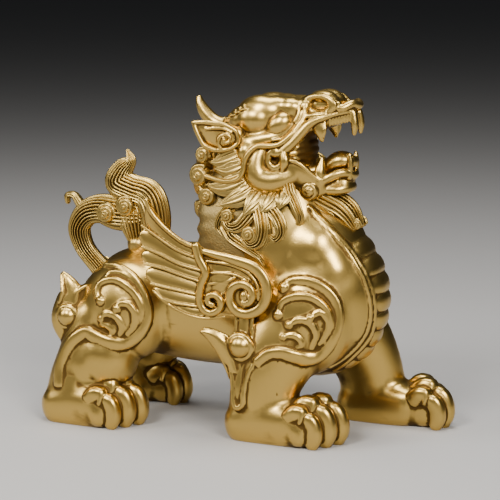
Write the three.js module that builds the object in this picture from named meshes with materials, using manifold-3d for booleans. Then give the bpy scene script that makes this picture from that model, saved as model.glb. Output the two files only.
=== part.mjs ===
// A pixiu: a winged lion-dragon, cast in brass in one piece, striding with its head raised.
// The figure faces +X, +Y is its left and +Z is up. It stands with its soles at z = 0.
import * as THREE from 'three';
import { mergeVertices } from 'three/addons/utils/BufferGeometryUtils.js';
import Module from 'manifold-3d';

// Driving sizes, in millimetres.
const height = 213.6; // floor to the top of the muzzle
const strideLength = 50; // how far the left forepaw stands ahead of the right
const hindStrideLength = 4; // how far the left hind paw stands ahead of the right
const wingCrestHeight = 3.25; // how far the wings' crests stand out of their furrows
const wingThickness = 5;
const chestPlateRise = 1; // half the step between the ribs and the furrows of the chest

const chestPlateCount = 14;
const triangleLimit = 9600;

// The figure is laid out in units, and its top is 85.44 units up. Every number below is in units.
const unit = height / 85.44;
const stride = strideLength / unit;
const hindStride = hindStrideLength / unit;
const crestHeight = wingCrestHeight / unit;
const pleatThickness = wingThickness / unit;
const plateRise = chestPlateRise / unit;
const foreAnkleX = 9.8; // where the right foreleg meets its paw
const pawY = 14.5; // how far each paw's middle is from the figure's middle
const lateral = new THREE.Vector3(0, 1, 0);
const brass = new THREE.MeshStandardMaterial({
  name: 'brass',
  color: 0xb08a45,
  metalness: 1,
  roughness: 0.34,
});

const wasm = await Module();
wasm.setup();

const at = (x, y, z) => new THREE.Vector3(x, y, z).multiplyScalar(unit);

// A closed tapering form on a smooth path. A station is [x, y, z, across, rise]: its centre, its half
// width along the reference direction and its half depth square to that.
function sweep(stations, { sides = 8, steps = 2, reference = lateral, cap = 0.6 } = {}) {
  const path = new THREE.CatmullRomCurve3(stations.map(([x, y, z]) => at(x, y, z)));
  const sizes = new THREE.CatmullRomCurve3(
    stations.map(([, , , across, rise = across], i) => new THREE.Vector3(across, rise, i)),
  );
  const count = (stations.length - 1) * steps;
  const positions = [];
  for (let k = 0; k <= count; k++) {
    const centre = path.getPoint(k / count);
    const tangent = path.getTangent(k / count);
    const side = reference.clone().addScaledVector(tangent, -reference.dot(tangent)).normalize();
    const up = tangent.clone().cross(side);
    const { x: across, y: rise } = sizes.getPoint(k / count);
    const reach = cap * Math.min(across, rise) * unit;
    if (k === 0) positions.push(...centre.clone().addScaledVector(tangent, -reach));
    for (let i = 0; i < sides; i++) {
      const angle = ((i + 0.5) / sides) * 2 * Math.PI;
      const point = centre.clone();
      point.addScaledVector(side, Math.cos(angle) * across * unit);
      point.addScaledVector(up, Math.sin(angle) * rise * unit);
      positions.push(...point);
    }
    if (k === count) positions.push(...centre.clone().addScaledVector(tangent, reach));
  }
  const corner = (k, i) => 1 + k * sides + (i % sides);
  const last = (count + 1) * sides + 1;
  const index = [];
  for (let i = 0; i < sides; i++) {
    index.push(0, corner(0, i + 1), corner(0, i));
    index.push(last, corner(count, i), corner(count, i + 1));
    for (let k = 0; k < count; k++) {
      const [a, b] = [corner(k, i), corner(k, i + 1)];
      const [c, d] = [corner(k + 1, i + 1), corner(k + 1, i)];
      index.push(a, b, c, a, c, d);
    }
  }
  return closed(positions, index);
}

function closed(positions, index) {
  const geometry = new THREE.BufferGeometry();
  geometry.setAttribute('position', new THREE.Float32BufferAttribute(positions, 3));
  geometry.setIndex(index);
  return geometry;
}

// A slab with a pleated face. Its lines run root to tip and all have the same number of [x, y, z].
function fan(lines, thickness) {
  const across = lines[0].length;
  const face = lines.flat().map(([x, y, z]) => at(x, y, z));
  const back = face.map((point) => point.clone().add(at(0, thickness, 0)));
  const positions = [...face, ...back].flatMap((point) => [...point]);
  const f = (i, k) => i * across + k;
  const b = (i, k) => face.length + f(i, k);
  const index = [];
  const quad = (p, q, r, s) => index.push(p, q, r, p, r, s);
  for (let i = 0; i < lines.length - 1; i++) {
    for (let k = 0; k < across - 1; k++) {
      quad(f(i, k), f(i, k + 1), f(i + 1, k + 1), f(i + 1, k));
      quad(b(i, k), b(i + 1, k), b(i + 1, k + 1), b(i, k + 1));
    }
    quad(f(i, 0), f(i + 1, 0), b(i + 1, 0), b(i, 0));
    quad(f(i, across - 1), b(i, across - 1), b(i + 1, across - 1), f(i + 1, across - 1));
  }
  const end = lines.length - 1;
  for (let k = 0; k < across - 1; k++) {
    quad(f(0, k), b(0, k), b(0, k + 1), f(0, k + 1));
    quad(f(end, k), f(end, k + 1), b(end, k + 1), b(end, k));
  }
  return closed(positions, index);
}

// An ellipsoid with its poles to the sides. Tilt lifts its front end, in degrees.
function ball([x, y, z], [rx, ry, rz], { tilt = 0, around = 12, down = 8 } = {}) {
  const geometry = new THREE.SphereGeometry(unit, around, down);
  geometry.scale(rx, ry, rz);
  geometry.rotateY(THREE.MathUtils.degToRad(-tilt));
  geometry.translate(x * unit, y * unit, z * unit);
  return geometry;
}

// A round boss that faces sideways, from y to y + depth.
function disc([x, y, z], radius, depth) {
  const geometry = new THREE.CylinderGeometry(radius * unit, radius * unit, depth * unit, 20);
  geometry.translate(x * unit, (y + depth / 2) * unit, z * unit);
  return geometry;
}

// A ring that faces sideways.
function ring([x, y, z], radius, thickness) {
  const geometry = new THREE.TorusGeometry(radius * unit, thickness * unit, 6, 12);
  geometry.translate(x * unit, y * unit, z * unit);
  return geometry;
}

function solid(geometry) {
  const bare = geometry.clone();
  bare.deleteAttribute('normal');
  bare.deleteAttribute('uv');
  const merged = mergeVertices(bare, 1e-4);
  return new wasm.Manifold(
    new wasm.Mesh({
      numProp: 3,
      vertProperties: new Float32Array(merged.attributes.position.array),
      triVerts: new Uint32Array(merged.index.array),
    }),
  );
}

// The same form on the figure's other side, with its faces turned out again.
function mirrored(geometry) {
  const copy = geometry.clone();
  copy.scale(1, -1, 1);
  const index = copy.index.array;
  for (let i = 0; i < index.length; i += 3) [index[i], index[i + 1]] = [index[i + 1], index[i]];
  return copy;
}

const bothSides = (forms) => [...forms, ...forms.map(mirrored)];
const joined = (forms) => forms.map(solid).reduce((whole, form) => whole.add(form));

// Points of a hook: an arc round a centre that winds from one radius to another.
function hook([cx, cz], [startRadius, endRadius], [startDegrees, endDegrees], count = 5) {
  return Array.from({ length: count }, (_, i) => {
    const share = i / (count - 1);
    const angle = THREE.MathUtils.degToRad(startDegrees + (endDegrees - startDegrees) * share);
    const radius = startRadius + (endRadius - startRadius) * share;
    return [cx + radius * Math.cos(angle), cz + radius * Math.sin(angle)];
  });
}

// Trunk, shoulders and thighs. Each mass is [centre, radii].
const chest = [[19, 0, 34.5], [20, 15, 21.5]];
const shoulder = [[18, -8.6, 30], [13.6, 9, 14.5]];
const thigh = [[-29.5, -8.6, 29], [12.8, 9.4, 13.4]];

function trunk() {
  return [
    sweep(
      [
        [-39, 0, 29, 7, 8.5],
        [-33, 0, 30.5, 11, 12.5],
        [-22, 0, 30.8, 12.6, 14.8],
        [-6, 0, 30.8, 13, 16],
        [10, 0, 33, 13.6, 18],
      ],
      { sides: 12 },
    ),
    sweep([[10, 0, 44, 12.5, 14], [8, 0, 54, 11, 14], [5, 0, 65, 8.5, 9]], { sides: 12 }),
    sweep([[-5.6, 0, 60, 8, 5], [-7.8, 0, 52, 10, 5], [-6.4, 0, 44, 10, 5.4]], { sides: 10 }),
    ball(...chest, { around: 28, down: 16 }),
  ];
}

// The front line of the throat, chest and belly carries ribbed plates between two borders.
const chestLine = [
  [20.2, 60.4],
  [27, 56.6],
  [32.8, 49.6],
  [37.2, 41.8],
  [38.6, 34],
  [37.2, 26.4],
  [32.8, 19.2],
  [25, 14.6],
  [14, 13.4],
  [2, 14],
];
const plateHalfWidth = 7.6;
const plateHalfDepth = 2;
const throatNarrowing = 0.35;

function chestPlates() {
  const line = new THREE.CatmullRomCurve3(chestLine.map(([x, z]) => at(x, 0, z)));
  const stations = [];
  for (let k = 0; k <= chestPlateCount * 2; k++) {
    const t = k / (chestPlateCount * 2);
    const { x, z } = line.getPointAt(t).divideScalar(unit);
    const tangent = line.getTangentAt(t);
    const inwards = plateHalfDepth - (k % 2 ? plateRise : -plateRise);
    const halfWidth = plateHalfWidth * (1 - throatNarrowing * Math.exp(-t * 7));
    stations.push([x + inwards * tangent.z, 0, z - inwards * tangent.x, halfWidth, plateHalfDepth]);
  }
  return sweep(stations, { sides: 6 });
}

const borderLine = [
  [15.4, -5.2, 61.6],
  [21.8, -6.8, 57.6],
  [28.6, -7.6, 51],
  [33.6, -8, 43.6],
  [36, -8, 36],
  [35, -8, 28],
  [31, -7.8, 20.4],
  [23.5, -7.4, 15.4],
  [13, -7.2, 14.2],
];
const chestBorder = () => sweep(borderLine.map((place) => [...place, 1]), { sides: 3 });

// A paw with its centre line at y, its heel at heelX and its longest toes ending at toeX.
const toeOffsets = [-4.9, -1.7, 1.7, 4.9];
const outerToeSetback = 1.8;

function paw(heelX, toeX, y) {
  const reach = toeX - heelX;
  const foot = sweep(
    [
      [heelX + 4.6, y, 4, 5.4, 5],
      [heelX + 0.42 * reach, y, 4.4, 6.2, 5.6],
      [heelX + 0.7 * reach, y, 5.2, 7, 6.6],
    ],
    { sides: 12 },
  );
  const toes = toeOffsets.flatMap((offset, i) => {
    const tip = toeX - (i === 0 || i === 3 ? outerToeSetback : 0);
    const toeY = y + offset;
    const knuckles = [
      [tip - 9, y + 0.6 * offset, 8.8, 2, 2.4],
      [tip - 5.2, toeY, 9.6, 2.2, 2.8],
      [tip - 2.6, toeY, 7, 2.2, 2.6],
    ];
    const claw = [
      [tip - 3.2, toeY, 7, 1.6, 1.8],
      [tip - 1.6, toeY, 4.6, 1.7, 1.8],
      [tip - 2.4, toeY, 1.2, 1.5, 2],
    ];
    return [sweep(knuckles, { sides: 6 }), sweep(claw, { sides: 6 })];
  });
  return [foot, ...toes];
}

// Legs on the right side. A foreleg's column meets its paw at ankleX.
function foreleg(ankleX) {
  const top = shoulder[0][0];
  const lean = ankleX - top;
  const column = sweep(
    [
      [top - 0.5, -10, 30, 7.4, 11.5],
      [top + 0.55 * lean, -12.4, 22, 7, 10.4],
      [top + 0.9 * lean, -14, 14, 6.2, 9],
      [ankleX, -pawY, 7, 5.7, 8.6],
      [ankleX - 0.4, -pawY, 2.4, 5.2, 8],
    ],
    { sides: 10, cap: 0.2 },
  );
  return [column, ...paw(ankleX - 9.4, ankleX + 22.4, -pawY)];
}

function hindleg(shift) {
  return [
    ball([-33.5 + shift, -12.4, 17], [8.4, 7.2, 9.4], { around: 10 }),
    sweep(
      [
        [-37 + shift, -11, 27, 6, 7],
        [-40.4 + shift, -13, 18, 5.4, 6],
        [-43.4 + shift, -14.4, 10, 4.8, 5.6],
        [-44 + shift, -pawY, 4, 4.9, 5.8],
      ],
      { sides: 8 },
    ),
    ...paw(-50.6 + shift, -20.8 + shift, -pawY),
  ];
}

// A raised line laid on a mass. Its places are [x, z] as seen from the side.
function scroll([[cx, cy, cz], [rx, ry, rz]], places, radius) {
  const stations = places.map(([x, z], i) => {
    const inside = 1 - ((x - cx) / rx) ** 2 - ((z - cz) / rz) ** 2;
    const thick = i === 0 || i === places.length - 1 ? radius / 2 : radius;
    return [x, cy - ry * Math.sqrt(Math.max(inside, 0.04)), z, thick];
  });
  return sweep(stations, { sides: 3 });
}

function hipScroll() {
  const rim = [...hook([-29.8, 31.2], [11, 9.6], [98, -130], 8), [-40.4, 22.6]];
  return [
    scroll(thigh, rim, 1.1),
    scroll(thigh, hook([-28.6, 36], [4.2, 6.6], [150, 10], 4), 0.8),
    scroll(thigh, hook([-28.4, 31.4], [5.8, 7.2], [190, -50], 7), 1),
    scroll(thigh, hook([-26.8, 28.4], [2.6, 5], [130, -70], 4), 0.8),
    scroll(thigh, hook([-30.6, 26.2], [2.8, 3.2], [160, -60], 4), 0.8),
    sweep(
      [[-40.4, -13.4, 22.6, 1.2], [-43.8, -15.4, 18, 1.5], [-45.6, -17, 13, 1.6], [-46, -17.6, 8.6, 0.8]],
      { sides: 4 },
    ),
  ];
}

function shoulderScroll() {
  const rim = [[10, 21.6], [15, 22.4], [20, 21.8], ...hook([22.4, 32], [10.2, 9], [-62, 128], 6)];
  return [
    scroll(shoulder, rim, 1.1),
    scroll(shoulder, hook([21.6, 31.4], [6.8, 7.4], [170, -55], 6), 1),
    scroll(shoulder, hook([25.2, 29.6], [2.8, 4.2], [125, -70], 4), 0.8),
    scroll(shoulder, hook([21, 27.8], [3, 3.8], [150, -60], 4), 0.8),
  ];
}

// The flame and its ball behind each elbow, with the ribbon down the leg, and those at each hock.
// The elbow's ornaments slide with the leg, the more the lower they are: lead is how far the paw is ahead.
function elbowFlame(lead) {
  const slid = (stations) =>
    stations.map(([x, y, z, ...size]) => [x + lead * THREE.MathUtils.smoothstep(31 - z, 0, 22), y, z, ...size]);
  const flame = [
    [3.8, -15, 17, 1.4, 2.8],
    [0.6, -16.2, 22.4, 1.2, 2.4],
    [-2.4, -18, 25, 0.9, 1.5],
    [-5, -19, 27, 0.3, 0.4],
  ];
  const [bossX, bossY, bossZ] = slid([[5.6, -17.2, 24]])[0];
  return [
    ball([bossX, bossY, bossZ], [2.9, 2.6, 2.9], { around: 10, down: 6 }),
    sweep(slid([[6.2, -15.6, 33, 1.9], [6, -16.6, 24, 1.9]])),
    sweep(slid(flame), { sides: 6 }),
    sweep(slid([[6, -17.4, 22, 1.6], [5.6, -18.6, 14.6, 1.5], [5, -18.8, 8.2, 1]]), { sides: 6 }),
  ];
}

function hockFlame() {
  const backTongue = [
    [-41, -11, 20.6, 1.6, 2.4],
    [-43, -12, 27, 2.2, 4.6],
    [-43, -12, 32.4, 2, 3.8],
    [-45, -12, 35.4, 1.2, 2],
    [-46.4, -12, 38.4, 0.3, 0.4],
  ];
  const frontTongue = [
    [-40, -10, 29, 1.6, 2.4],
    [-39.6, -10.6, 33.4, 1.4, 1.8],
    [-41.6, -11.4, 36.6, 0.4, 0.6],
  ];
  return [
    ball([-42.8, -14.6, 27.4], [3, 2.6, 3], { down: 5 }),
    sweep(backTongue, { sides: 6 }),
    sweep(frontTongue, { sides: 5 }),
  ];
}

// Wings: six feathers sweep back from a divider and four bands run forward into a spiral boss.
// A pleat is [start, middle, middle, end] as seen from the side. Crests stand out and furrows don't.
const wingY = -18.2;
const tipFlare = 0.3; // how far each point further out along a pleat leans away from the flank

function pleats(lines) {
  const raised = lines.map((places, i) => {
    const y = wingY - (i % 2 ? crestHeight : 0);
    return places.map(([x, z], k) => [x, y - tipFlare * k, z]);
  });
  return fan(raised, pleatThickness);
}

function wing() {
  const feathers = pleats([
    [[-4.4, 48.6], [-9.4, 50.2], [-14.2, 54.6], [-18, 60]],
    [[-4.8, 47], [-9.6, 48.4], [-14.4, 51.8], [-18.4, 57.6]],
    [[-5.2, 45.6], [-9.8, 46.6], [-14.4, 49.8], [-18.2, 54]],
    [[-5.2, 44.4], [-10, 45.6], [-15, 48.6], [-19.5, 52.4]],
    [[-5, 42.6], [-10, 43.6], [-14.8, 46.2], [-18, 48.8]],
    [[-4.8, 41], [-10, 42.4], [-15.2, 45], [-18.9, 47.4]],
    [[-4.8, 39.4], [-10, 40.6], [-14.8, 42.8], [-17.2, 44.6]],
    [[-4.8, 38], [-10, 39.2], [-15, 41.4], [-17.9, 43.2]],
    [[-4.8, 36.4], [-10, 37.4], [-14.2, 39], [-16.2, 40.4]],
    [[-4.8, 35], [-10, 35.8], [-14, 37], [-16.8, 38.4]],
    [[-4.6, 33.6], [-8.6, 34], [-12, 35], [-14.2, 36]],
    [[-4.4, 32.6], [-8, 32.6], [-11.6, 33.2], [-14.2, 34.2]],
    [[-3.6, 31], [-6.6, 30.6], [-9.4, 31.2], [-12, 32.6]],
  ]);
  const bands = pleats([
    [[-4, 33], [-0.4, 33.4], [2.6, 34], [4.6, 34.6]],
    [[-3.4, 36.8], [0, 37.2], [3, 36.6], [5, 35.8]],
    [[-3, 38.4], [1.4, 38.6], [4, 37.6], [6, 36.4]],
    [[-2.6, 40], [2.4, 40], [5, 38.6], [7, 37]],
    [[-2.6, 41.6], [2.6, 41.4], [6, 39.8], [8.2, 37.4]],
    [[-3.2, 43.4], [2.8, 42.8], [7, 40.8], [9.4, 38]],
    [[-3.8, 45], [3, 44], [8, 41.8], [10.8, 38.6]],
    [[-4.2, 46.8], [3.2, 45.4], [9.2, 43], [12.2, 39.4]],
    [[-4.4, 48.4], [3.4, 46.8], [10.2, 44.4], [13.4, 40.4]],
  ]);
  const coil = hook([7, 36.6], [5.7, 1.2], [70, -430], 13);
  const divider = [
    [-5.2, 48.4],
    [-3.9, 44.8],
    [-2.2, 41.8],
    [-4, 38],
    [-4.4, 34.6],
    [-2.6, 31.8],
    [0.2, 31.9],
    [1.4, 34],
    [-0.4, 35.4],
  ];
  return [
    feathers,
    bands,
    sweep(coil.map(([x, z], i) => [x, wingY - 0.6 - 0.08 * i, z, 1.3, 1.1]), { sides: 4 }),
    sweep(divider.map(([x, z]) => [x, wingY - 1, z, 1.2, 1]), { sides: 4 }),
    disc([6.9, wingY - 0.6, 36.5], 6.4, 7),
    ball([6.6, wingY - 1, 36.4], [1.5, 1.6, 1.5], { around: 6, down: 4 }),
    sweep([[-9, -12, 38, 5, 4], [0, -13, 38, 5, 5], [7, -13, 37, 4.6, 5]], { sides: 6 }),
  ];
}

// The tail: a root that loops back over the rump, a post beside it and a plume above, with curls.
function tail() {
  const root = [
    [-38, 0, 34.4, 3.4, 3],
    [-41.4, 0, 38.2, 3.6, 2.4],
    [-45.6, 0, 43.2, 3.8, 2.3],
    [-46.9, 0, 48.2, 4, 2.8],
    [-44.6, 0, 52, 4, 3.4],
    [-40.6, 0, 53.4, 4, 3.9],
    [-36, 0, 52.6, 4, 4.6],
    [-31, 0, 52.4, 3.8, 4.6],
  ];
  const post = [[-29, 0, 38, 3.8, 4.2], [-29.6, 0, 45, 3.9, 3.9], [-30.6, 0, 51, 4, 5]];
  const plume = [
    [-24.6, 0, 40, 3.4, 3.4],
    [-24.8, 0, 47, 3.8, 3.5],
    [-25, 0, 52.6, 4, 3.9],
    [-27, 0, 57.4, 4, 4.2],
    [-31.4, 0, 59, 4, 3.8],
    [-35.2, 0, 60.8, 3.8, 3.9],
    [-34, 0, 64.2, 2.8, 2.9],
    [-32, 0, 66.6, 1.6, 1.5],
    [-32.8, 0, 69, 0.4, 0.4],
  ];
  const hindCurl = [
    [-44.6, 0, 51.6, 2, 1.6],
    [-46.6, 0, 54.4, 1.8, 1.3],
    [-48.4, 0, 56.6, 1.5, 1],
    [-50.2, 0, 56.4, 1.3, 0.9],
    [-50.2, 0, 54.8, 1.1, 0.7],
  ];
  const coils = [[-37.4, 52.8], [-31.8, 54.8]].map((centre) => {
    const places = hook(centre, [2.8, 0.8], [-60, 300], 7);
    return sweep(places.map(([x, z], i) => [x, -3.4 - 0.1 * i, z, 1.4, 0.9]), { sides: 4 });
  });
  return [
    sweep(root, { sides: 8 }),
    sweep(post, { sides: 8 }),
    sweep(plume, { sides: 8 }),
    sweep(hindCurl),
    ...bothSides(coils),
  ];
}

// The head: the skull, the back of the mouth, the bridge of the nose and the upper jaw.
function skull() {
  const bridge = [
    [4.6, 0, 77, 6.4, 4.8],
    [12, 0, 80.2, 5.2, 4.2],
    [17.6, 0, 81.4, 4.4, 3.8],
    [24, 0, 80.4, 3.4, 3],
  ];
  const upperJaw = [
    [8, 0, 74, 7.2, 3.4],
    [14, 0, 76.4, 6.8, 3.2],
    [20, 0, 78.2, 5.4, 2.6],
    [25.4, 0, 79, 4.4, 1.9],
    [28.4, 0, 79.6, 3, 1.6],
  ];
  return [
    ball([1.8, 0, 72.8], [8, 8, 7.4]),
    ball([8, 0, 70.4], [8.6, 8.6, 8]),
    ball([16.5, 0, 71.8], [6.6, 5.5, 5.6]),
    sweep(bridge, { sides: 8 }),
    sweep(upperJaw, { sides: 8 }),
  ];
}

// One side of the face: the brow, the eye, the cheek, the nostril and the lines of the upper lip.
function face() {
  const brow = [
    [-1.4, -5.6, 76, 2],
    [2, -6, 78.8, 3.8, 4],
    [6.4, -6, 80.8, 4, 4.2],
    [11, -5.2, 82, 3.2, 3],
    [14.8, -4, 83, 1.4],
  ];
  const whisker = [
    [18.6, -5, 81.2, 1],
    [17, -6.4, 78, 1.1],
    [13.9, -8, 74.2, 1.1],
    [10, -9.4, 72.4, 1.1],
    [6.4, -10.4, 71.6, 1.1],
    [3.8, -10.8, 68.8, 1.1],
    [3, -11, 65.2, 1.1],
    [0, -11, 63.4, 1],
    [-6.4, -10.8, 64.4, 0.5],
  ];
  const lip = [
    [11, -8.4, 71, 1.1],
    [14, -7.6, 72, 1.1],
    [16.6, -6.8, 75, 1.2],
    [18.8, -6.2, 78, 1.2],
    [25.4, -4.6, 80.2, 1],
  ];
  return [
    sweep(brow),
    ball([11.6, -6.6, 77], [3.9, 2.5, 2.6], { tilt: 38, down: 5 }),
    ball([6.4, -7.6, 66.8], [4.6, 4.8, 8]),
    ball([10.6, -7, 62.8], [5.8, 4.2, 3.6], { tilt: 12, down: 5 }),
    ball([20.6, -3.4, 82.6], [3.3, 2.8, 3], { down: 5 }),
    ring([11, -9.8, 69.2], 1.9, 0.8),
    sweep(whisker, { sides: 3 }),
    sweep(lip, { sides: 4 }),
    sweep([[24.6, -4.4, 80, 1.1], [27.8, -3.4, 81.6, 1.1], [29, -0.6, 82.6, 1]], { sides: 4 }),
  ];
}

function ear() {
  return sweep([
    [1, -7.6, 73.6, 2.2, 3.2],
    [-2.4, -10.6, 74.2, 1.9, 4.1],
    [-5.4, -12.8, 75.8, 1.4, 3.2],
    [-8.2, -14.2, 78.6, 0.4, 0.6],
  ]);
}

function fang(x, y, rootZ, tipZ, radius) {
  return sweep([[x, y, rootZ, radius], [x, y, (rootZ + 2 * tipZ) / 3, radius * 0.6]], { sides: 4, cap: 2.2 });
}

function teeth() {
  return [
    fang(22, -4.7, 79, 74.4, 1.5),
    fang(28.4, -2.4, 79.4, 75.4, 1),
    fang(22.2, -4.7, 64, 70, 1.5),
    fang(27.6, -2.4, 65, 70.2, 1),
    fang(13, -8, 71.4, 68, 0.9),
    ...[0, 1, 2].map((i) => fang(23.9 + 1.4 * i, -4.1 + 0.3 * i, 78.6, 76.4, 0.7)),
  ];
}

function jaw() {
  const body = [
    [5, 0, 64.6, 8, 5],
    [12, 0, 63.6, 7.2, 4],
    [18, 0, 63, 5.8, 3],
    [23, 0, 63, 4.8, 2.6],
    [27.4, 0, 64.2, 3, 2.4],
  ];
  const tongue = [
    [10, 0, 66, 4, 1.8],
    [17, 0, 66.8, 3.4, 1.6],
    [22, 0, 67.4, 3.2, 1.4],
    [24.8, 0, 69.6, 2.4, 1.1],
  ];
  const lip = [
    [9.6, -7.8, 67.4, 1.4, 2],
    [13.6, -8, 68.2, 1.2, 1.8],
    [17, -7.2, 67.4, 1.2, 1.6],
    [20.6, -5.8, 64.4, 1.2, 1.6],
    [24, -4.8, 65.2, 1.2, 1.3],
    [28.2, -1.2, 66.4, 1.1, 1.2],
  ];
  return {
    middle: [sweep(body, { sides: 8 }), sweep(tongue)],
    sides: [sweep(lip, { sides: 5 }), ball([18.8, -5.4, 62.2], [2.5, 2, 2.5], { around: 6, down: 5 })],
  };
}

function horn() {
  return sweep([
    [-2.4, 0, 76.4, 2.7, 2.4],
    [-7.4, 0, 76.4, 2.1, 2],
    [-10.6, 0, 78.6, 1.7, 1.6],
    [-12.2, 0, 81.6, 1.1, 1.1],
    [-12.9, 0, 84, 0.4, 0.4],
  ]);
}

// Mane: curls in rows over the ruff, pointed leaves under the cheek, hanging locks and a beard.
function mane() {
  const curls = [
    [-6.6, -8.6, 69.6, 2.8],
    [-7.6, -8, 64, 3],
    [-5.8, -9.6, 58.4, 3.2],
    [-0.2, -11, 54.4, 3.2],
    [4.8, -11.8, 50, 3],
    [8, -12.4, 45.8, 2.3],
    [-9.4, -3.2, 67.2, 2.9],
    [-9.8, -2.8, 61.2, 3],
    [-9.4, -4.6, 55.4, 3],
  ].map(([x, y, z, radius]) => ball([x, y, z], [radius, radius, radius], { around: 10, down: 6 }));
  const leaves = [
    [[3.4, 63.4], [-1.6, 61.4], [-4.8, 59]],
    [[5, 61.6], [1.6, 58.4], [-0.8, 56]],
    [[8, 60.2], [5.6, 57.4], [4.2, 55]],
    [[11.4, 60], [9.8, 57.6], [9, 55.4]],
  ].map((places) => {
    const stations = places.map(([x, z], k) => [x, -9.8 - 0.8 * k, z, 1 - 0.3 * k, 2 - 0.8 * k]);
    return sweep(stations, { sides: 4 });
  });
  const locks = [
    [[12.4, -8.2, 60.4, 1.8], [13.8, -9.6, 56.4, 1.7], [13.6, -10.4, 52.4, 1.3], [11.2, -11.4, 49, 0.4]],
    [[15, -6.4, 61, 1.5], [16.6, -7.8, 58.6, 1.4], [17.6, -8.6, 55.6, 0.4]],
    [[8.6, -9.4, 58, 1.8], [9.8, -10.8, 53.4, 1.8], [9, -12, 49, 1.4], [6.2, -12.8, 46.2, 0.6]],
  ].map((stations) => sweep(stations, { sides: 5 }));
  const beard = [
    [[20, -2.6, 60, 2, 1.6], [25.4, -2.6, 56.8, 2, 1.6], [29, -2, 53, 1.5, 1.3], [31.4, -1.4, 51, 0.8, 0.8]],
    [[22.6, 1.6, 61, 2.4, 1.4], [27.4, 1.4, 58.4, 2.2, 1.4], [30.4, 0.8, 54.6, 1.4, 1.2], [31.6, 0.4, 52, 0.6]],
  ].map((stations) => sweep(stations, { sides: 6 }));
  const ruff = ball([-1, 0, 61.4], [10.4, 10.6, 14.6], { around: 16, down: 10 });
  return { middle: [ruff, ...beard], sides: [...curls, ...leaves, ...locks] };
}

// What is cut out of the joined forms: the nostrils and the cups of the ears.
function hollows() {
  return bothSides([
    ball([21, -6, 83], [1.5, 2, 1.4]),
    ball([-3.4, -13.6, 74.9], [3.2, 1.9, 2.4], { tilt: -24 }),
  ]);
}

function figure() {
  const hair = mane();
  const lower = jaw();
  const sides = [
    ball(...shoulder, { around: 18, down: 12 }),
    ball(...thigh, { around: 18, down: 12 }),
    chestBorder(),
    ...hipScroll(),
    ...shoulderScroll(),
    ...hockFlame(),
    ...wing(),
    ...face(),
    ear(),
    ...teeth(),
    ...lower.sides,
    ...hair.sides,
  ];
  const middle = [
    ...trunk(),
    chestPlates(),
    ...tail(),
    ...skull(),
    ...lower.middle,
    horn(),
    ...hair.middle,
    ...foreleg(foreAnkleX),
    ...elbowFlame(0),
    ...foreleg(foreAnkleX + stride).map(mirrored),
    ...elbowFlame(stride).map(mirrored),
    ...hindleg(0),
    ...hindleg(hindStride).map(mirrored),
  ];
  return joined([...middle, ...bothSides(sides)]).subtract(joined(hollows()));
}

// The casting is solid: a pocket shut in by the joined forms is a shell that faces inwards, and goes.
function withoutPockets(points, faces) {
  const parent = points.map((_, i) => i);
  const root = (i) => {
    while (parent[i] !== i) i = parent[i] = parent[parent[i]];
    return i;
  };
  for (const [a, b, c] of faces) {
    parent[root(b)] = root(a);
    parent[root(c)] = root(a);
  }
  const volume = new Map();
  for (const [a, b, c] of faces) {
    const share = points[a].dot(points[b].clone().cross(points[c]));
    volume.set(root(a), (volume.get(root(a)) ?? 0) + share);
  }
  return faces.filter(([a]) => volume.get(root(a)) > 0);
}

// A quadric sums squared distances to planes. It holds the upper half of a symmetric 4 x 4 matrix.
function addPlane(quadric, { x, y, z }, d, weight) {
  const plane = [x, y, z, d];
  let slot = 0;
  for (let i = 0; i < 4; i++) {
    for (let j = i; j < 4; j++) quadric[slot++] += weight * plane[i] * plane[j];
  }
}

function distance(quadric, other, { x, y, z }) {
  const place = [x, y, z, 1];
  let slot = 0;
  let sum = 0;
  for (let i = 0; i < 4; i++) {
    for (let j = i; j < 4; j++) {
      sum += (i === j ? 1 : 2) * (quadric[slot] + other[slot]) * place[i] * place[j];
      slot++;
    }
  }
  return Math.abs(sum);
}

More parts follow.
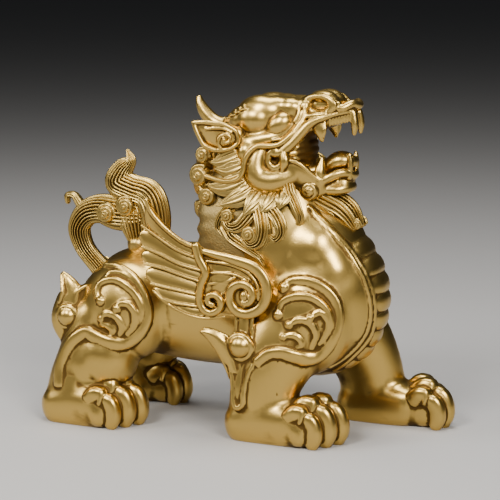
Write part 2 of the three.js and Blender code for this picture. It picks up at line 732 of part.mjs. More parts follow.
// Draws pairs of corners together where that moves the surface least, until the faces are few enough.
function thinned(points, faces, limit) {
  const shareEachRound = 0.12;
  const steepestTurn = 0.3;
  const slimCost = 2e-3;
  const normalOf = (p, q, r) => q.clone().sub(p).cross(r.clone().sub(p));
  const quadrics = points.map(() => new Float64Array(10));
  for (const face of faces) {
    const normal = normalOf(...face.map((i) => points[i]));
    const weight = Math.sqrt(normal.length());
    normal.normalize();
    for (const i of face) addPlane(quadrics[i], normal, -normal.dot(points[face[0]]), weight);
  }
  while (faces.length > limit) {
    const around = points.map(() => []);
    for (const face of faces) for (const i of face) around[i].push(face);
    const pairs = [];
    for (const [a, b, c] of faces) {
      for (const [u, v] of [[a, b], [b, c], [c, a]]) {
        if (u > v) continue;
        const middle = points[u].clone().lerp(points[v], 0.5);
        const [error, place] = [points[u], points[v], middle]
          .map((choice) => [distance(quadrics[u], quadrics[v], choice), choice])
          .reduce((best, choice) => (choice[0] < best[0] ? choice : best));
        pairs.push({ u, v, place: place.clone(), cost: error + slimCost * points[u].distanceTo(points[v]) });
      }
    }
    pairs.sort((p, q) => p.cost - q.cost);
    const quota = Math.min(faces.length - limit, faces.length * shareEachRound);
    const busy = new Uint8Array(points.length);
    const gone = new Set();
    for (const { u, v, place } of pairs) {
      if (gone.size >= quota) break;
      if (busy[u] || busy[v]) continue;
      const nearU = new Set(around[u].flat());
      const nearV = new Set(around[v].flat());
      const shared = [...nearU].filter((i) => i !== u && i !== v && nearV.has(i));
      const turns = [...around[u], ...around[v]].some((face) => {
        if (face.includes(u) && face.includes(v)) return false;
        const before = normalOf(...face.map((i) => points[i])).normalize();
        const after = normalOf(...face.map((i) => (i === u || i === v ? place : points[i]))).normalize();
        return before.dot(after) < steepestTurn;
      });
      if (shared.length !== 2 || turns) continue;
      for (const i of [...nearU, ...nearV]) busy[i] = 1;
      for (const face of around[v]) {
        if (face.includes(u)) gone.add(face);
        else face[face.indexOf(v)] = u;
      }
      points[u].copy(place);
      quadrics[v].forEach((value, slot) => (quadrics[u][slot] += value));
    }
    if (gone.size === 0) break;
    faces = faces.filter((face) => !gone.has(face));
  }
  return faces;
}

function unpacked(manifold) {
  const { vertProperties, triVerts } = manifold.getMesh();
  const points = [];
  const faces = [];
  for (let i = 0; i < vertProperties.length; i += 3) {
    points.push(new THREE.Vector3().fromArray(vertProperties, i));
  }
  for (let i = 0; i < triVerts.length; i += 3) faces.push(Array.from(triVerts.slice(i, i + 3)));
  return [points, faces];
}

// The joined figure with fewer faces, then its soles cut flat, then stood at the middle of the frame.
const groundHalfWidth = 100;
const groundDepth = 20;

function finished(whole) {
  const [points, faces] = unpacked(whole);
  const kept = thinned(points, withoutPockets(points, faces), triangleLimit);
  const light = solid(closed(points.flatMap((point) => [...point]), kept.flat()));
  const side = 2 * groundHalfWidth * unit;
  const ground = new THREE.BoxGeometry(side, side, groundDepth * unit);
  ground.translate(0, 0, (-groundDepth / 2) * unit);
  const [corners, sides] = unpacked(light.subtract(solid(ground)));
  const geometry = closed(corners.flatMap((corner) => [...corner]), withoutPockets(corners, sides).flat());
  geometry.computeBoundingBox();
  const { min, max } = geometry.boundingBox;
  return geometry.translate(-(min.x + max.x) / 2, -(min.y + max.y) / 2, -min.z);
}

const pixiu = new THREE.Group();
const mesh = new THREE.Mesh(finished(figure()), brass);
mesh.name = 'pixiu_figure';
pixiu.add(mesh);

export default pixiu;
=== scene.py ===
import math

import bpy
import numpy as np
from mathutils import Matrix, Vector


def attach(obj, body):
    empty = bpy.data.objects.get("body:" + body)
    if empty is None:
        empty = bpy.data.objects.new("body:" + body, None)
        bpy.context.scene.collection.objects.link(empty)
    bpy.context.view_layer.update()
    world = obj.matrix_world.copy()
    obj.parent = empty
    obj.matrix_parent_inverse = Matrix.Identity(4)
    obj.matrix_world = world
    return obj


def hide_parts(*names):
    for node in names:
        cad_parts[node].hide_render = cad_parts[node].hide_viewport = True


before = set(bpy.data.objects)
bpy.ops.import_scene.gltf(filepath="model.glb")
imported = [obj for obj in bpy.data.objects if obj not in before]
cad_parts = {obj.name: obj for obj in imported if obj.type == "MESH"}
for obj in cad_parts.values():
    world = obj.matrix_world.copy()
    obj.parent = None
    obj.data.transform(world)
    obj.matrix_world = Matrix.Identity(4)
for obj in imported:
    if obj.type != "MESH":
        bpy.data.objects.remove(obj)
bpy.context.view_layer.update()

# A pixiu cast in brass: a winged lion-dragon that strides with its head raised.
# It is modelled in units of 2.5 mm, with x ahead, y to its left and z up from the floor,
# and set in the frame's place, in metres, when each piece is done.
UNIT = 0.0025
MIDDLE = 0.00154  # metres from the frame's origin to the figure's own, along x
STRIDE = 20  # how far the left forepaw stands ahead of the right, in units
HIND_STRIDE = 1.6
PAW_X, PAW_Y = 9.8, -14.5  # where the right foreleg meets its paw

# The camera's stand, in metres, which is also the eye that lays the carving on the skin.
TURN, LIFT, AWAY = math.radians(21), math.radians(9.5), 1.2
BACK = Vector((math.sin(TURN) * math.cos(LIFT), -math.cos(TURN) * math.cos(LIFT), math.sin(LIFT)))
STAND = Vector((0, 0.007, 0.111)) + BACK * AWAY
EYE = STAND / UNIT

CHEST = ((18.8, 0, 34.5), (18.4, 14.8, 20.6))
SHOULDER = ((18, -8.6, 30), (13.6, 9, 14.5))
THIGH = ((-29.5, -8.6, 29), (12.8, 9.4, 13.4))

ROUND_END = np.array([1.35, 1, 0.6, 0.25])  # the angles of the rings that round off a sweep's end
THINNEST = 0.03  # the least half width of a sweep
SAME = 0.002  # sizes whose ratio is this close to 1 are left alike
SKIN_REACH = 7  # how far from its read depth a place may meet the skin
CARVED_AT = -17  # the depth at which the carving on the shoulder and thigh is read
HAIR = dict(sides=96, steps=6, strands=12, cut=0.36)  # how a lock of hair is cut
BODY_FACES, FINE_FACES, MANE_FACES = 195000, 190000, 188000  # the most triangles of a piece


# Modelling by hand: selecting, joining, copying, mirroring.
def deselect():
    bpy.ops.object.select_all(action="DESELECT")


def only(*pieces):
    deselect()
    for piece in pieces:
        piece.select_set(True)
    bpy.context.view_layer.objects.active = pieces[0]


def mode(kind):
    bpy.ops.object.mode_set(mode=kind)


def joined(forms):
    only(*forms)
    if len(forms) > 1:
        bpy.ops.object.join()
    return bpy.context.object


def apply(piece, kind, **settings):
    modifier = piece.modifiers.new(kind.lower(), kind)
    for key, value in settings.items():
        setattr(modifier, key, value)
    only(piece)
    bpy.ops.object.modifier_apply(modifier=modifier.name)


def both(forms):
    """The forms of the right side and their mirror images on the left."""
    form = joined(forms)
    apply(form, "MIRROR", use_axis=(False, True, False), use_mirror_merge=False)
    return [form]


def mirrored(forms):
    form = joined(forms)
    mode("EDIT")
    bpy.ops.mesh.select_all(action="SELECT")
    bpy.ops.transform.resize(value=(1, -1, 1), center_override=(0, 0, 0))
    bpy.ops.mesh.normals_make_consistent(inside=False)
    mode("OBJECT")
    return form


def copied(form, places, sizes=None, turns=None):
    """Sets a form at the first place and copies of it at the others."""
    copies = []
    for i, place in enumerate(places):
        only(form)
        bpy.ops.object.duplicate(linked=False)
        twin = bpy.context.object
        turn = turns[i] if turns else Matrix.Identity(3)
        size = sizes[i] if sizes else 1
        twin.matrix_world = Matrix.LocRotScale(Vector(place), turn.to_quaternion(), Vector([size] * 3))
        bpy.ops.object.transform_apply()
        copies.append(twin)
    bpy.data.objects.remove(form)
    return copies


def spline(rows, steps):
    """A smooth run through rows of numbers whose first three are places."""
    p = np.asarray(rows, float)
    p = np.vstack([2 * p[0] - p[1], p, 2 * p[-1] - p[-2]])
    gaps = np.maximum(np.linalg.norm(np.diff(p[:, :3], axis=0), axis=1), 1e-3) ** 0.5
    run = []
    for i in range(1, len(p) - 2):
        before, span, after = gaps[i - 1 : i + 2]
        a, b, c, d = p[i - 1 : i + 3]
        m = span * ((b - a) / before - (c - a) / (before + span) + (c - b) / span)
        n = span * ((c - b) / span - (d - b) / (span + after) + (d - c) / after)
        for k in range(steps):
            t = k / steps
            run.append((2 * t**3 - 3 * t**2 + 1) * b + (t**3 - 2 * t**2 + t) * m
                       + (3 * t**2 - 2 * t**3) * c + (t**3 - t**2) * n)
    return np.array(run + [p[-2]])


def one_long(rows):
    return rows / np.linalg.norm(rows, axis=1)[:, None]


def swing(start, end, place):
    """Turns what is selected from one frame of directions to the next."""
    axis, angle = Matrix(end @ start.T).to_quaternion().to_axis_angle()
    if abs(angle) < 1e-4:
        return
    across = axis.orthogonal().normalized()
    grip = Matrix((across, axis.cross(across), axis)).transposed()
    bpy.ops.transform.rotate(
        value=angle, orient_axis="Z", orient_type="GLOBAL", orient_matrix=grip, orient_matrix_type="GLOBAL",
        constraint_axis=(False, False, True), center_override=place)


def stretch(ratio, directions, place):
    bpy.ops.transform.resize(
        value=(*ratio, 1), orient_type="GLOBAL", orient_matrix=Matrix(directions),
        orient_matrix_type="GLOBAL", center_override=place)


def choose(form, wanted):
    """Selects the wanted corners of the form that is being edited."""
    bpy.ops.mesh.select_all(action="DESELECT")
    mode("OBJECT")
    form.data.vertices.foreach_set("select", wanted)
    mode("EDIT")


def shape_section(form, wave):
    """Draws corners of the circle in or out, which cuts it into strands or squares it off."""
    for value in np.unique(np.round(wave, 3)):
        if abs(value - 1) > SAME:
            choose(form, np.abs(wave - value) < 0.001)
            bpy.ops.transform.resize(value=(value, value, 1), center_override=(0, 0, 0))
    bpy.ops.mesh.select_all(action="SELECT")


def sweep(stations, sides=20, steps=5, toward=(0, 1, 0), strands=0, cut=0.14, flat=0.0, blunt=False):
    """A tapering form drawn out of a circle, ring by ring.
    A station is x, y, z, half width toward the side, half depth. Strands cuts it into that many
    rounded locks of hair, flat squares its section off, and blunt leaves its ends unrounded."""
    rows = spline([tuple(s) + (s[3],) * (5 - len(s)) for s in stations], steps)
    centre, size = rows[:, :3], np.maximum(rows[:, 3:], THINNEST)
    tangent = one_long(np.gradient(centre, axis=0))
    toward = np.array(toward, float)
    side = one_long(toward - (tangent @ toward)[:, None] * tangent)
    front = ROUND_END[:0] if blunt else ROUND_END
    rear = front[::-1]
    pick = np.concatenate([[0] * len(front), np.arange(len(rows)), [-1] * len(rear)]).astype(int)
    sizes = size[pick] * np.concatenate([np.cos(front), np.ones(len(rows)), np.cos(rear)])[:, None]
    shove = size.min(axis=1)[pick] * np.concatenate([-np.sin(front), np.zeros(len(rows)), np.sin(rear)])
    places = centre[pick] + tangent[pick] * shove[:, None]
    frames = np.stack([side, np.cross(tangent, side), tangent], axis=2)[pick]

    deselect()
    bpy.ops.mesh.primitive_circle_add(vertices=sides, radius=1, fill_type="NGON", location=(0, 0, 0))
    form = bpy.context.object
    mode("EDIT")
    bpy.ops.mesh.select_mode(type="VERT")
    angle = np.arctan2(*[[v.co[k] for v in form.data.vertices] for k in (1, 0)])
    wave = 1 - cut * (1 - np.abs(np.sin(strands * angle / 2))) ** 0.8 if strands else np.ones(sides)
    if flat:
        wave *= (np.cos(angle) ** 4 + np.sin(angle) ** 4) ** (-0.25 * flat)
    shape_section(form, wave)
    mode("OBJECT")
    form.matrix_world = Matrix.Translation(places[0]) @ Matrix(frames[0]).to_4x4()
    bpy.ops.object.transform_apply()
    mode("EDIT")
    stretch(sizes[0], frames[0], places[0])
    now = [sizes[0], frames[0]]
    for k in range(1, len(places)):
        bpy.ops.mesh.extrude_region_move(TRANSFORM_OT_translate={"value": places[k] - places[k - 1]})
        swing(now[1], frames[k], places[k])
        ratio = sizes[k] / now[0]
        if np.abs(ratio - 1).max() > SAME:
            stretch(ratio, frames[k], places[k])
            now[0] = sizes[k]
        now[1] = frames[k]
    bpy.ops.mesh.select_all(action="SELECT")
    bpy.ops.mesh.normals_make_consistent(inside=False)
    mode("OBJECT")
    return form


def central(stations, **how):
    """A sweep on the middle plane, whose stations leave y out."""
    return sweep([(x, 0, *rest) for x, *rest in stations], **how)


def ball(centre, radii, tilt=0, sides=24, rings=14):
    """A long ball, whose front end tilt lifts by so many degrees."""
    deselect()
    bpy.ops.mesh.primitive_uv_sphere_add(
        segments=sides, ring_count=rings, radius=1, location=centre, rotation=(0, math.radians(-tilt), 0))
    form = bpy.context.object
    form.scale = radii
    bpy.ops.object.transform_apply()
    return form


def ring(centre, radius, thick, tilt=0, yaw=0, long=1.0):
    """A ring that faces sideways, drawn out lengthwise by long. Tilt lifts its front and yaw
    swings it to the left, in degrees."""
    deselect()
    bpy.ops.mesh.primitive_torus_add(
        major_segments=28, minor_segments=12, major_radius=radius, minor_radius=thick, location=centre,
        rotation=(math.radians(90), math.radians(-tilt), math.radians(yaw)))
    form = bpy.context.object
    form.scale = (long, 1, 1)
    bpy.ops.object.transform_apply()
    return form


def snail(radius, turns=2.2, strands=6):
    """A curl of hair wound up to a point, facing up from the origin."""
    count = int(turns * 9)
    stations = []
    for i in range(count):
        share = i / (count - 1)
        angle = turns * 2 * math.pi * share
        r = radius * (0.74 * (1 - share) ** 0.85 + 0.04)
        stations.append((r * math.cos(angle), r * math.sin(angle), radius * 0.6 * share**0.8,
                         radius * (0.36 - 0.16 * share)))
    return sweep(stations, sides=24, steps=3, toward=(0, 0, 1), strands=strands, cut=0.16)


def facing(out, turn=0.0):
    """The turn that points a curl's top along out."""
    return Vector(out).to_track_quat("Z", "Y").to_matrix() @ Matrix.Rotation(turn, 3, "Z")


def line(places, radius, sides=10, steps=5, deep=1.0):
    """A thin raised line, deep times as thick sideways as along the skin."""
    return sweep([(*place, radius * deep, radius) for place in places], sides=sides, steps=steps)


# Laying carving on the skin.
def seen(core, places, y=CARVED_AT):
    """Where the sight lines through places [x, z], read at depth y, meet the core's skin."""
    found = []
    for x, z in places:
        hit, spot, _, _ = core.ray_cast(EYE, (Vector((x, y, z)) - EYE).normalized())
        found.append(tuple(spot) if hit and abs(spot.y - y) < SKIN_REACH else (x, y, z))
    return found


def ridge(places, radius, ends=(0.6, 0.4), deep=0.62, bulb=0.0):
    """A raised band on the skin, full in the middle and tapered at its ends."""
    n = len(places) - 1
    stations = []
    for i, place in enumerate(places):
        taper = 1 - (1 - ends[0]) * max(0, 1 - 3 * i / n) - (1 - ends[1]) * max(0, 1 - 3 * (n - i) / n)
        stations.append((*place, radius * taper * deep, radius * taper))
    forms = [sweep(stations, sides=16, steps=4, flat=0.4)]
    if bulb:
        forms.append(ball(places[0], (bulb, bulb * 0.8, bulb), sides=16, rings=10))
    return forms


# The trunk, with its shoulders, thighs and chest plates.
CHEST_LINE = [
    (20.2, 60.4), (27, 56.6), (32.8, 49.6), (37.2, 41.8), (38.6, 34),
    (37.2, 26.4), (32.8, 19.2), (25, 14.6), (14, 13.4), (2, 14),
]
PLATES = 16
PLATE_OVERLAP, PLATE_THICK = 1.14, 2.4  # a plate's height over its share of the line, and its half depth
PLATE_WIDTHS = ((0, 0.1, 0.17, 0.24, 0.31, 0.38, 0.45, 0.52, 0.58, 0.68, 1),
                (1.4, 2, 3.9, 4.7, 4.4, 3.7, 3.2, 2.6, 3, 3.5, 3.5))  # how far down, half width


def trunk():
    return [
        central([(-39, 29, 7, 8.5), (-33, 30.5, 11, 12.5), (-22, 30.8, 12.6, 14.8), (-6, 30.8, 13, 16),
                 (10, 33, 13.6, 18)], sides=40),
        central([(10.5, 42, 14, 15), (9.6, 50, 13.4, 15), (8, 57, 11, 14), (5, 65, 8.5, 9)], sides=40),
        ball(*CHEST, sides=64, rings=40),
        ball((17.5, 0, 46.4), (14.6, 12.8, 12.6), sides=48, rings=32),
        *[ball((17, y, 43), (9.8, 6.9, 8.4), sides=40, rings=26) for y in (-6.5, 6.5)],
        *[ball((21, y, 46.8), (7, 6.2, 8), sides=40, rings=26) for y in (-6.6, 6.6)],
        central([(12.5, 57.5, 8.4, 4.6), (18, 53.5, 9.8, 5.2), (22.6, 48.4, 11.4, 6.6),
                 (26, 42, 12.6, 7.5)], sides=40),
    ]


def nape():
    """The broad plate behind the neck, whose back edge runs in scallops."""
    return central([(-1.4, 62, 8.6, 6.4), (-1.8, 58.6, 10.4, 8), (-1.6, 56, 11.6, 9), (-1.4, 53.9, 12, 8.4),
                    (-1.2, 52, 12.4, 9.4), (-1, 50.1, 12.6, 8.7), (-0.8, 48, 12.8, 9.6), (0, 45, 13, 8.8),
                    (0.4, 41, 13, 8.8)], sides=64, flat=1)


def chest_plates():
    run = spline([(x, 0, z) for x, z in CHEST_LINE], 40)
    length = np.concatenate([[0], np.cumsum(np.linalg.norm(np.diff(run, axis=0), axis=1))])
    tangent = one_long(np.gradient(run, axis=0))
    forms = []
    for k in range(PLATES):
        t = (k + 0.5) / PLATES
        i = int(np.searchsorted(length, t * length[-1]))
        (x, _, z), along = run[i], tangent[i]
        out = np.array([-along[2], 0, along[0]])
        wide = float(np.interp(t, *PLATE_WIDTHS))
        half = PLATE_OVERLAP / 2 * length[-1] / PLATES
        stations = []
        for share in (-1, -0.72, -0.36, 0, 0.36, 0.72, 1):
            place = np.array([x, share * wide, z]) - out * (2.8 + 1.1 * abs(share) ** 3)
            stations.append((*place, half * (1 - 0.08 * share**4), PLATE_THICK))
        forms.append(sweep(stations, sides=18, steps=3, toward=tuple(along), flat=0.35))
    return forms


# The two lines that border the chest plates: depth, radius and the places read as [x, z].
BORDERS = (
    (-8, 0.55, [
        (19.7, 58), (22, 56), (24.4, 54), (26.7, 51.8), (29.1, 49.6), (30.9, 47.6), (32.7, 45.1),
        (34.3, 42.7), (35.4, 40.3), (36.4, 37.1), (36.8, 33.9), (36.7, 30.4), (36, 27.3), (34.2, 24.4),
        (31.6, 21.6), (29.1, 19.2), (26.5, 17.5)]),
    (-8, 0.5, [
        (20.7, 56.5), (23.1, 54.4), (25.2, 52.3), (27.2, 50.2), (29.1, 48.3), (30.9, 46), (32.4, 43.6),
        (33.8, 41.4), (34.7, 39.2), (35.5, 36.3), (35.8, 33.3), (35.7, 30.8), (34.9, 27.8), (33.2, 24.9),
        (30.6, 22), (28, 19.9), (25.4, 18.2)]),
)


def chest_border(core):
    return [line(seen(core, places, y), radius, sides=12, steps=8) for y, radius, places in BORDERS]


# Legs and paws.
TOES = ((-5.1, 0.94, 4.6), (-1.7, 1.1, 2), (1.9, 1.1, 0), (5.2, 0.95, 1.4))  # aside, size and how far back


def toe():
    """A toe whose tip stands at the origin: a flat knuckle, a collar and a long front."""
    return joined([
        central([(-8.6, 7.9, 1.9, 2.2), (-7, 9, 2.05, 2.5), (-5.6, 9, 2, 2.4)], flat=0.7),
        sweep([(-5.4, -1.9, 7.2, 0.4), (-4.8, -1.4, 9.5, 0.45), (-4.3, 0, 10.4, 0.45), (-4.8, 1.4, 9.5, 0.45),
               (-5.4, 1.9, 7.2, 0.4)], sides=10, toward=(1, 0, 0)),
        central([(-5.4, 7.6, 1.6, 1.8), (-3.4, 7.4, 1.8, 2.3), (-2.2, 5.4, 1.85, 2.3), (-2, 3, 1.85, 2.2),
                 (-2.5, 1.2, 1.6, 1.8)], flat=0.35),
    ])


def paw(heel, tip_x):
    """The mass of a paw with its thumb, and the place and size of each toe."""
    reach, y = tip_x - heel, PAW_Y
    forms = [
        sweep([(heel + 4.8, y, 4, 5.6, 5.2), (heel + 0.42 * reach, y, 4.6, 6.4, 6),
               (heel + 0.62 * reach, y, 4.7, 7, 5.6), (tip_x - 9.4, y + 0.4, 4.4, 6.8, 5),
               (tip_x - 6.8, y + 1.6, 4, 4.8, 4.4)], sides=40, steps=6, flat=0.7),
        sweep([(tip_x - 12, y - 5.4, 6, 1.2), (tip_x - 10.8, y - 6, 4, 1.6),
               (tip_x - 10.2, y - 6.1, 1.8, 1.5)]),
    ]
    return forms, [((tip_x - back, y + aside, 0), size) for aside, size, back in TOES]


def foreleg(paw_x):
    top = SHOULDER[0][0]
    lean = paw_x - top
    leg = sweep([(top - 0.5, -10, 30, 7.4, 11.5), (top + 0.55 * lean, -12.4, 22, 7, 10.4),
                 (top + 0.9 * lean, -14, 14, 6.2, 9), (paw_x, PAW_Y, 7, 5.7, 8.6),
                 (paw_x - 0.4, PAW_Y, 2.4, 5.2, 8)], sides=36)
    forms, places = paw(paw_x - 9.4, paw_x + 22)
    return forms + [leg], places


def hindleg(shift):
    forms, places = paw(-50.6 + shift, -22.2 + shift)
    return forms + [
        ball((-33.5 + shift, -12.4, 17), (8.4, 7.2, 9.4)),
        ball((-37.4 + shift, -13, 14.6), (6.8, 6.4, 8.4)),
        ball((-36.6 + shift, -13.2, 10), (7.6, 6, 6.4)),
        ball((-41 + shift, -14, 9), (5.8, 6, 6.4)),
        sweep([(-37 + shift, -11, 27, 6, 7), (-40.4 + shift, -13, 18, 5.4, 6),
               (-43.4 + shift, -14.4, 10, 4.8, 5.6), (-44 + shift, PAW_Y, 4, 4.9, 5.8)], sides=28),
    ], places


# Carving on the thighs and shoulders, read as [x, z], with the radius of each lobe.
HIP_RIM = [
    (-31.6, 41.6), (-27.7, 41.2), (-23.4, 38.4), (-20.9, 34), (-20.2, 29.5), (-22.2, 25.2), (-26, 22.2),
    (-30.2, 21.6), (-34.4, 22.8), (-37.2, 23.8), (-40.4, 22), (-42.8, 18.9), (-44.9, 14.1), (-45.3, 9.6),
]
HIP_LOBES = [
    ([(-31.6, 38.4), (-30.4, 39.8), (-27.6, 40), (-24.7, 38.6), (-22.6, 36)], 0.6),
    ([(-33, 32.4), (-34, 34), (-33.1, 36.6), (-29.4, 38), (-25.4, 36.5), (-22.3, 33), (-22, 28.8),
      (-24, 25)], 0.9),
    ([(-28.6, 30.7), (-27.6, 32), (-25.3, 32), (-23.6, 29.8), (-24, 26.4), (-25.7, 24.2)], 0.8),
    ([(-32.9, 27.8), (-31.5, 29.2), (-28.8, 28.6), (-27.2, 26), (-28, 23.6)], 0.7),
    ([(-32.5, 26.5), (-31, 26), (-29.8, 24.8), (-30.8, 23.6)], 0.6),
]
SHOULDER_RIM = [
    (9.4, 19.8), (12.4, 22.2), (15.6, 22.8), (19, 22.2), (22.2, 21.8), (25.6, 23.2), (29, 27.8), (30.2, 33),
    (29, 37), (25.9, 39.8), (21.9, 41), (18, 40.6), (16.6, 39.1),
]
SHOULDER_LOBES = [
    ([(14.9, 32.3), (15.8, 35.3), (19.5, 37.2), (24.3, 36.8), (27.7, 33.8), (28.4, 30), (26.8, 26.2)], 0.9),
    ([(23.2, 32.1), (25.6, 33.6), (27.6, 31.8), (27.3, 28.5), (25.6, 25.8)], 0.75),
    ([(17.8, 30), (20.5, 31.4), (23.3, 30.7), (24.7, 28), (23.6, 24.6)], 0.75),
    ([(16.3, 26.9), (18.5, 27.4), (20.3, 26.7), (20.9, 25.3), (19.7, 24.4)], 0.6),
]


def scrolls(core):
    """Stepped crescents, each with a bead at its free end, inside a broad rim."""
    forms = [ball(seen(core, [(16.4, 39.2)])[0], (1.35, 1.1, 1.35))]
    for places, ends in ((HIP_RIM, (0.6, 0.8)), (SHOULDER_RIM, (0.7, 0.6))):
        forms += ridge(seen(core, places), 1.75, ends, deep=0.5)
    for places, radius in HIP_LOBES + SHOULDER_LOBES:
        forms += ridge(seen(core, places), radius * 1.2, bulb=radius * 1.3)
    return forms


# The ornament at the elbow: stations with half widths, and raised lines.
ELBOW_LEAF = [
    (4.4, -18.3, 17.6, 0.6), (2.4, -18.3, 21.2, 2.1), (-0.2, -18.6, 24.9, 2), (-2.2, -18.8, 26.6, 1.3),
    (-4.6, -18.8, 27.3, 0.3),
]
ELBOW_LINES = [
    [(2.8, -18.2, 15.6), (1.6, -18.4, 18.6), (-0.8, -18.8, 22.8), (-2.7, -19.2, 25.5), (-4.6, -19, 26.9)],
    [(4.2, -19, 18.8), (1.4, -19.2, 22.6), (-0.9, -19.4, 25.3), (-2.8, -19.4, 26.8)],
    [(2.8, -18, 25.8), (0.4, -18.6, 27), (-1.8, -19, 27.8), (-3.8, -19, 27.9)],
]
ELBOW_FUNNEL = [
    (6.6, -17.8, 21.2, 3.8), (6, -18.3, 17.6, 2.5), (5.6, -19, 13.6, 1.7), (5.6, -19.3, 10.4, 1.5),
    (5.6, -19.5, 9.2, 1.2),
]
ELBOW_EDGE = [
    (2.4, -18.2, 24.4), (2.2, -18.4, 21.6), (3.4, -18.8, 17.6), (4, -19.3, 13.4), (4.3, -19.8, 10.2),
    (5.3, -20.1, 8.7), (6.6, -20, 9.6), (7.1, -19.7, 13.2), (8, -19.3, 17.2), (9.8, -19, 20.2),
    (12, -18.6, 22),
]


def elbow_ornament():
    """A bead in a rimmed cup, a leaf flaring back, and an edged funnel that narrows to a drop."""
    forms = [
        sweep([(x, y, z, 1.2, half) for x, y, z, half in ELBOW_LEAF]),
        sweep([(x, y, z, 0.9, half) for x, y, z, half in ELBOW_FUNNEL], flat=0.3),
        ball((5.6, -18.2, 24), (3, 2.6, 3)),
        ring((5.6, -18.8, 24), 3.1, 0.55),
        sweep([(6.2, -15.6, 32.6, 1.8, 2.1), (6.1, -16, 29, 1.8, 2), (5.8, -16.6, 25, 1.8, 2)]),
        line([(3.9, -17, 32), (3.9, -17.4, 28), (3.6, -17.6, 26.4)], 0.4),
        line([(8.4, -17, 32), (8.3, -17.4, 28), (8.6, -17.8, 25.6), (9.6, -18.2, 23)], 0.4),
        line(ELBOW_EDGE, 0.7),
    ]
    return forms + [line(places, 0.42, sides=8) for places in ELBOW_LINES]


def leant(form):
    """Slides a form forward with the leg that is set ahead, more and more toward its foot."""
    heights = points_of(form.data, "co")[:, 2]
    top, foot, cuts = 31, 9, 45
    levels = np.linspace(top, foot, cuts)
    share = (top - levels) / (top - foot)
    lean = STRIDE * share * share * (3 - 2 * share)
    only(form)
    mode("EDIT")
    bpy.ops.mesh.select_mode(type="VERT")
    for level, step in zip(levels, np.diff(lean)):
        choose(form, heights < level)
        bpy.ops.transform.translate(value=(step, 0, 0))
    mode("OBJECT")
    return form


def hock_ornament():
    """A flame with two points, rising from a bead in a rimmed cup."""
    return [
        sweep([(-43.8, -13.6, 20, 1.6, 1.7), (-44.6, -13.8, 25.6, 2.3, 3.9), (-43.7, -13.4, 30.4, 2.1, 3.8),
               (-43.1, -13, 33.6, 1.7, 3), (-44.2, -12.8, 36.2, 1.2, 1.8), (-45.6, -12.6, 38.2, 0.4, 0.5)],
              sides=24),
        sweep([(-42, -12.4, 28, 1.8, 2.2), (-40.4, -12.2, 32.4, 1.6, 2.4), (-39, -12, 34.8, 1.1, 1.3),
               (-38, -12, 35.8, 0.4, 0.4)]),
        ball((-42, -12.6, 32.6), (3, 1.7, 3)),
        ball((-43.2, -15.4, 27.4), (2.5, 2, 2.5)),
        ring((-43.2, -15.7, 27.4), 2.7, 0.55),
        line([(-45.6, -15.2, 31), (-44.9, -15, 33.4), (-45.3, -14.2, 35.8), (-45.8, -13.2, 37.8)], 0.45),
        line([(-41.6, -14.6, 31), (-41.2, -14.2, 33.4), (-39.8, -13.4, 34.8), (-38.4, -12.6, 35.6)], 0.45),
    ]


# Wings: places x, z, and half widths where a third number follows.
FEATHERS = [
    [(-4.8, 46.5, 1.4), (-10.1, 48.1, 1.5), (-14.6, 51.2, 1.9), (-17.3, 54.6, 1.9), (-18.1, 57.4, 1.1),
     (-18.4, 59.2, 0.3)],
    [(-4.8, 43.7, 1.9), (-10.7, 45.5, 2.2), (-15.4, 48.2, 2.5), (-18.4, 50, 2.5), (-19.8, 50.8, 1.4)],
    [(-4.8, 40.7, 1.7), (-10.2, 42.3, 1.7), (-15, 44.2, 2.1), (-18, 45.2, 2.3), (-19.3, 45.6, 1.3)],
    [(-4.8, 37.7, 1.9), (-9.7, 38.9, 2.2), (-13.9, 40, 2.6), (-17, 40.8, 2.4), (-18.3, 41.1, 1.4)],
    [(-4.8, 34.6, 1.8), (-9, 35.1, 1.9), (-12.4, 35.7, 2.1), (-15.2, 36.4, 2), (-16.6, 36.8, 1.1)],
    [(-4.4, 31.8, 1.5), (-8.1, 32.2, 1.4), (-11, 32.9, 1.3), (-13.4, 34, 0.9), (-14.6, 34.8, 0.3)],
]
QUILLS = [
    [(-4.9, 47.8), (-9.3, 49.2), (-14.4, 53.1), (-17.6, 57), (-18.5, 59.4)],
    [(-5.2, 45.2), (-11, 47.3), (-15.6, 50.3), (-19.6, 53)],
    [(-4.4, 42.3), (-10.5, 43.8), (-15.3, 46.1), (-19.6, 47.7)],
    [(-4.4, 39.5), (-10, 41), (-14.5, 42.5), (-18.8, 43.4)],
    [(-4.8, 36.1), (-9.4, 36.9), (-13.2, 37.6), (-17.4, 38.5)],
    [(-4.8, 33.2), (-8.6, 33.5), (-11.6, 33.9), (-14.6, 34.7)],
    [(1.6, 31.2), (-3, 30.4), (-8.3, 31.1), (-13.6, 33.8), (-16.8, 36.8)],
]
VOLUTE = [
    (-4.8, 47.1, 0.8), (-0.6, 46.3, 1), (3.4, 45.5, 1.2), (9.4, 43.6, 1.4), (12, 40.4, 1.4),
    (12.3, 36.9, 1.4), (10.8, 33.9, 1.35), (7.4, 32.2, 1.3), (4.3, 32.9, 1.25), (2.8, 35.4, 1.2),
    (3.3, 38.2, 1.15), (5.8, 39.6, 1.1), (8.2, 38.8, 1.05), (8.9, 36.8, 1), (7.9, 35.1, 0.9),
    (6.6, 34.9, 0.7),
]
BAND_LINES = [
    [(-4, 44.8), (3.5, 44), (8.2, 41.9), (10.2, 38.8), (10.2, 36)],
    [(-2.6, 41.8), (4, 41.8), (7.6, 40.4)],
    [(-3, 38.9), (2.2, 40), (4, 41)],
    [(-3.6, 36), (1.2, 37), (2.4, 38.6)],
]
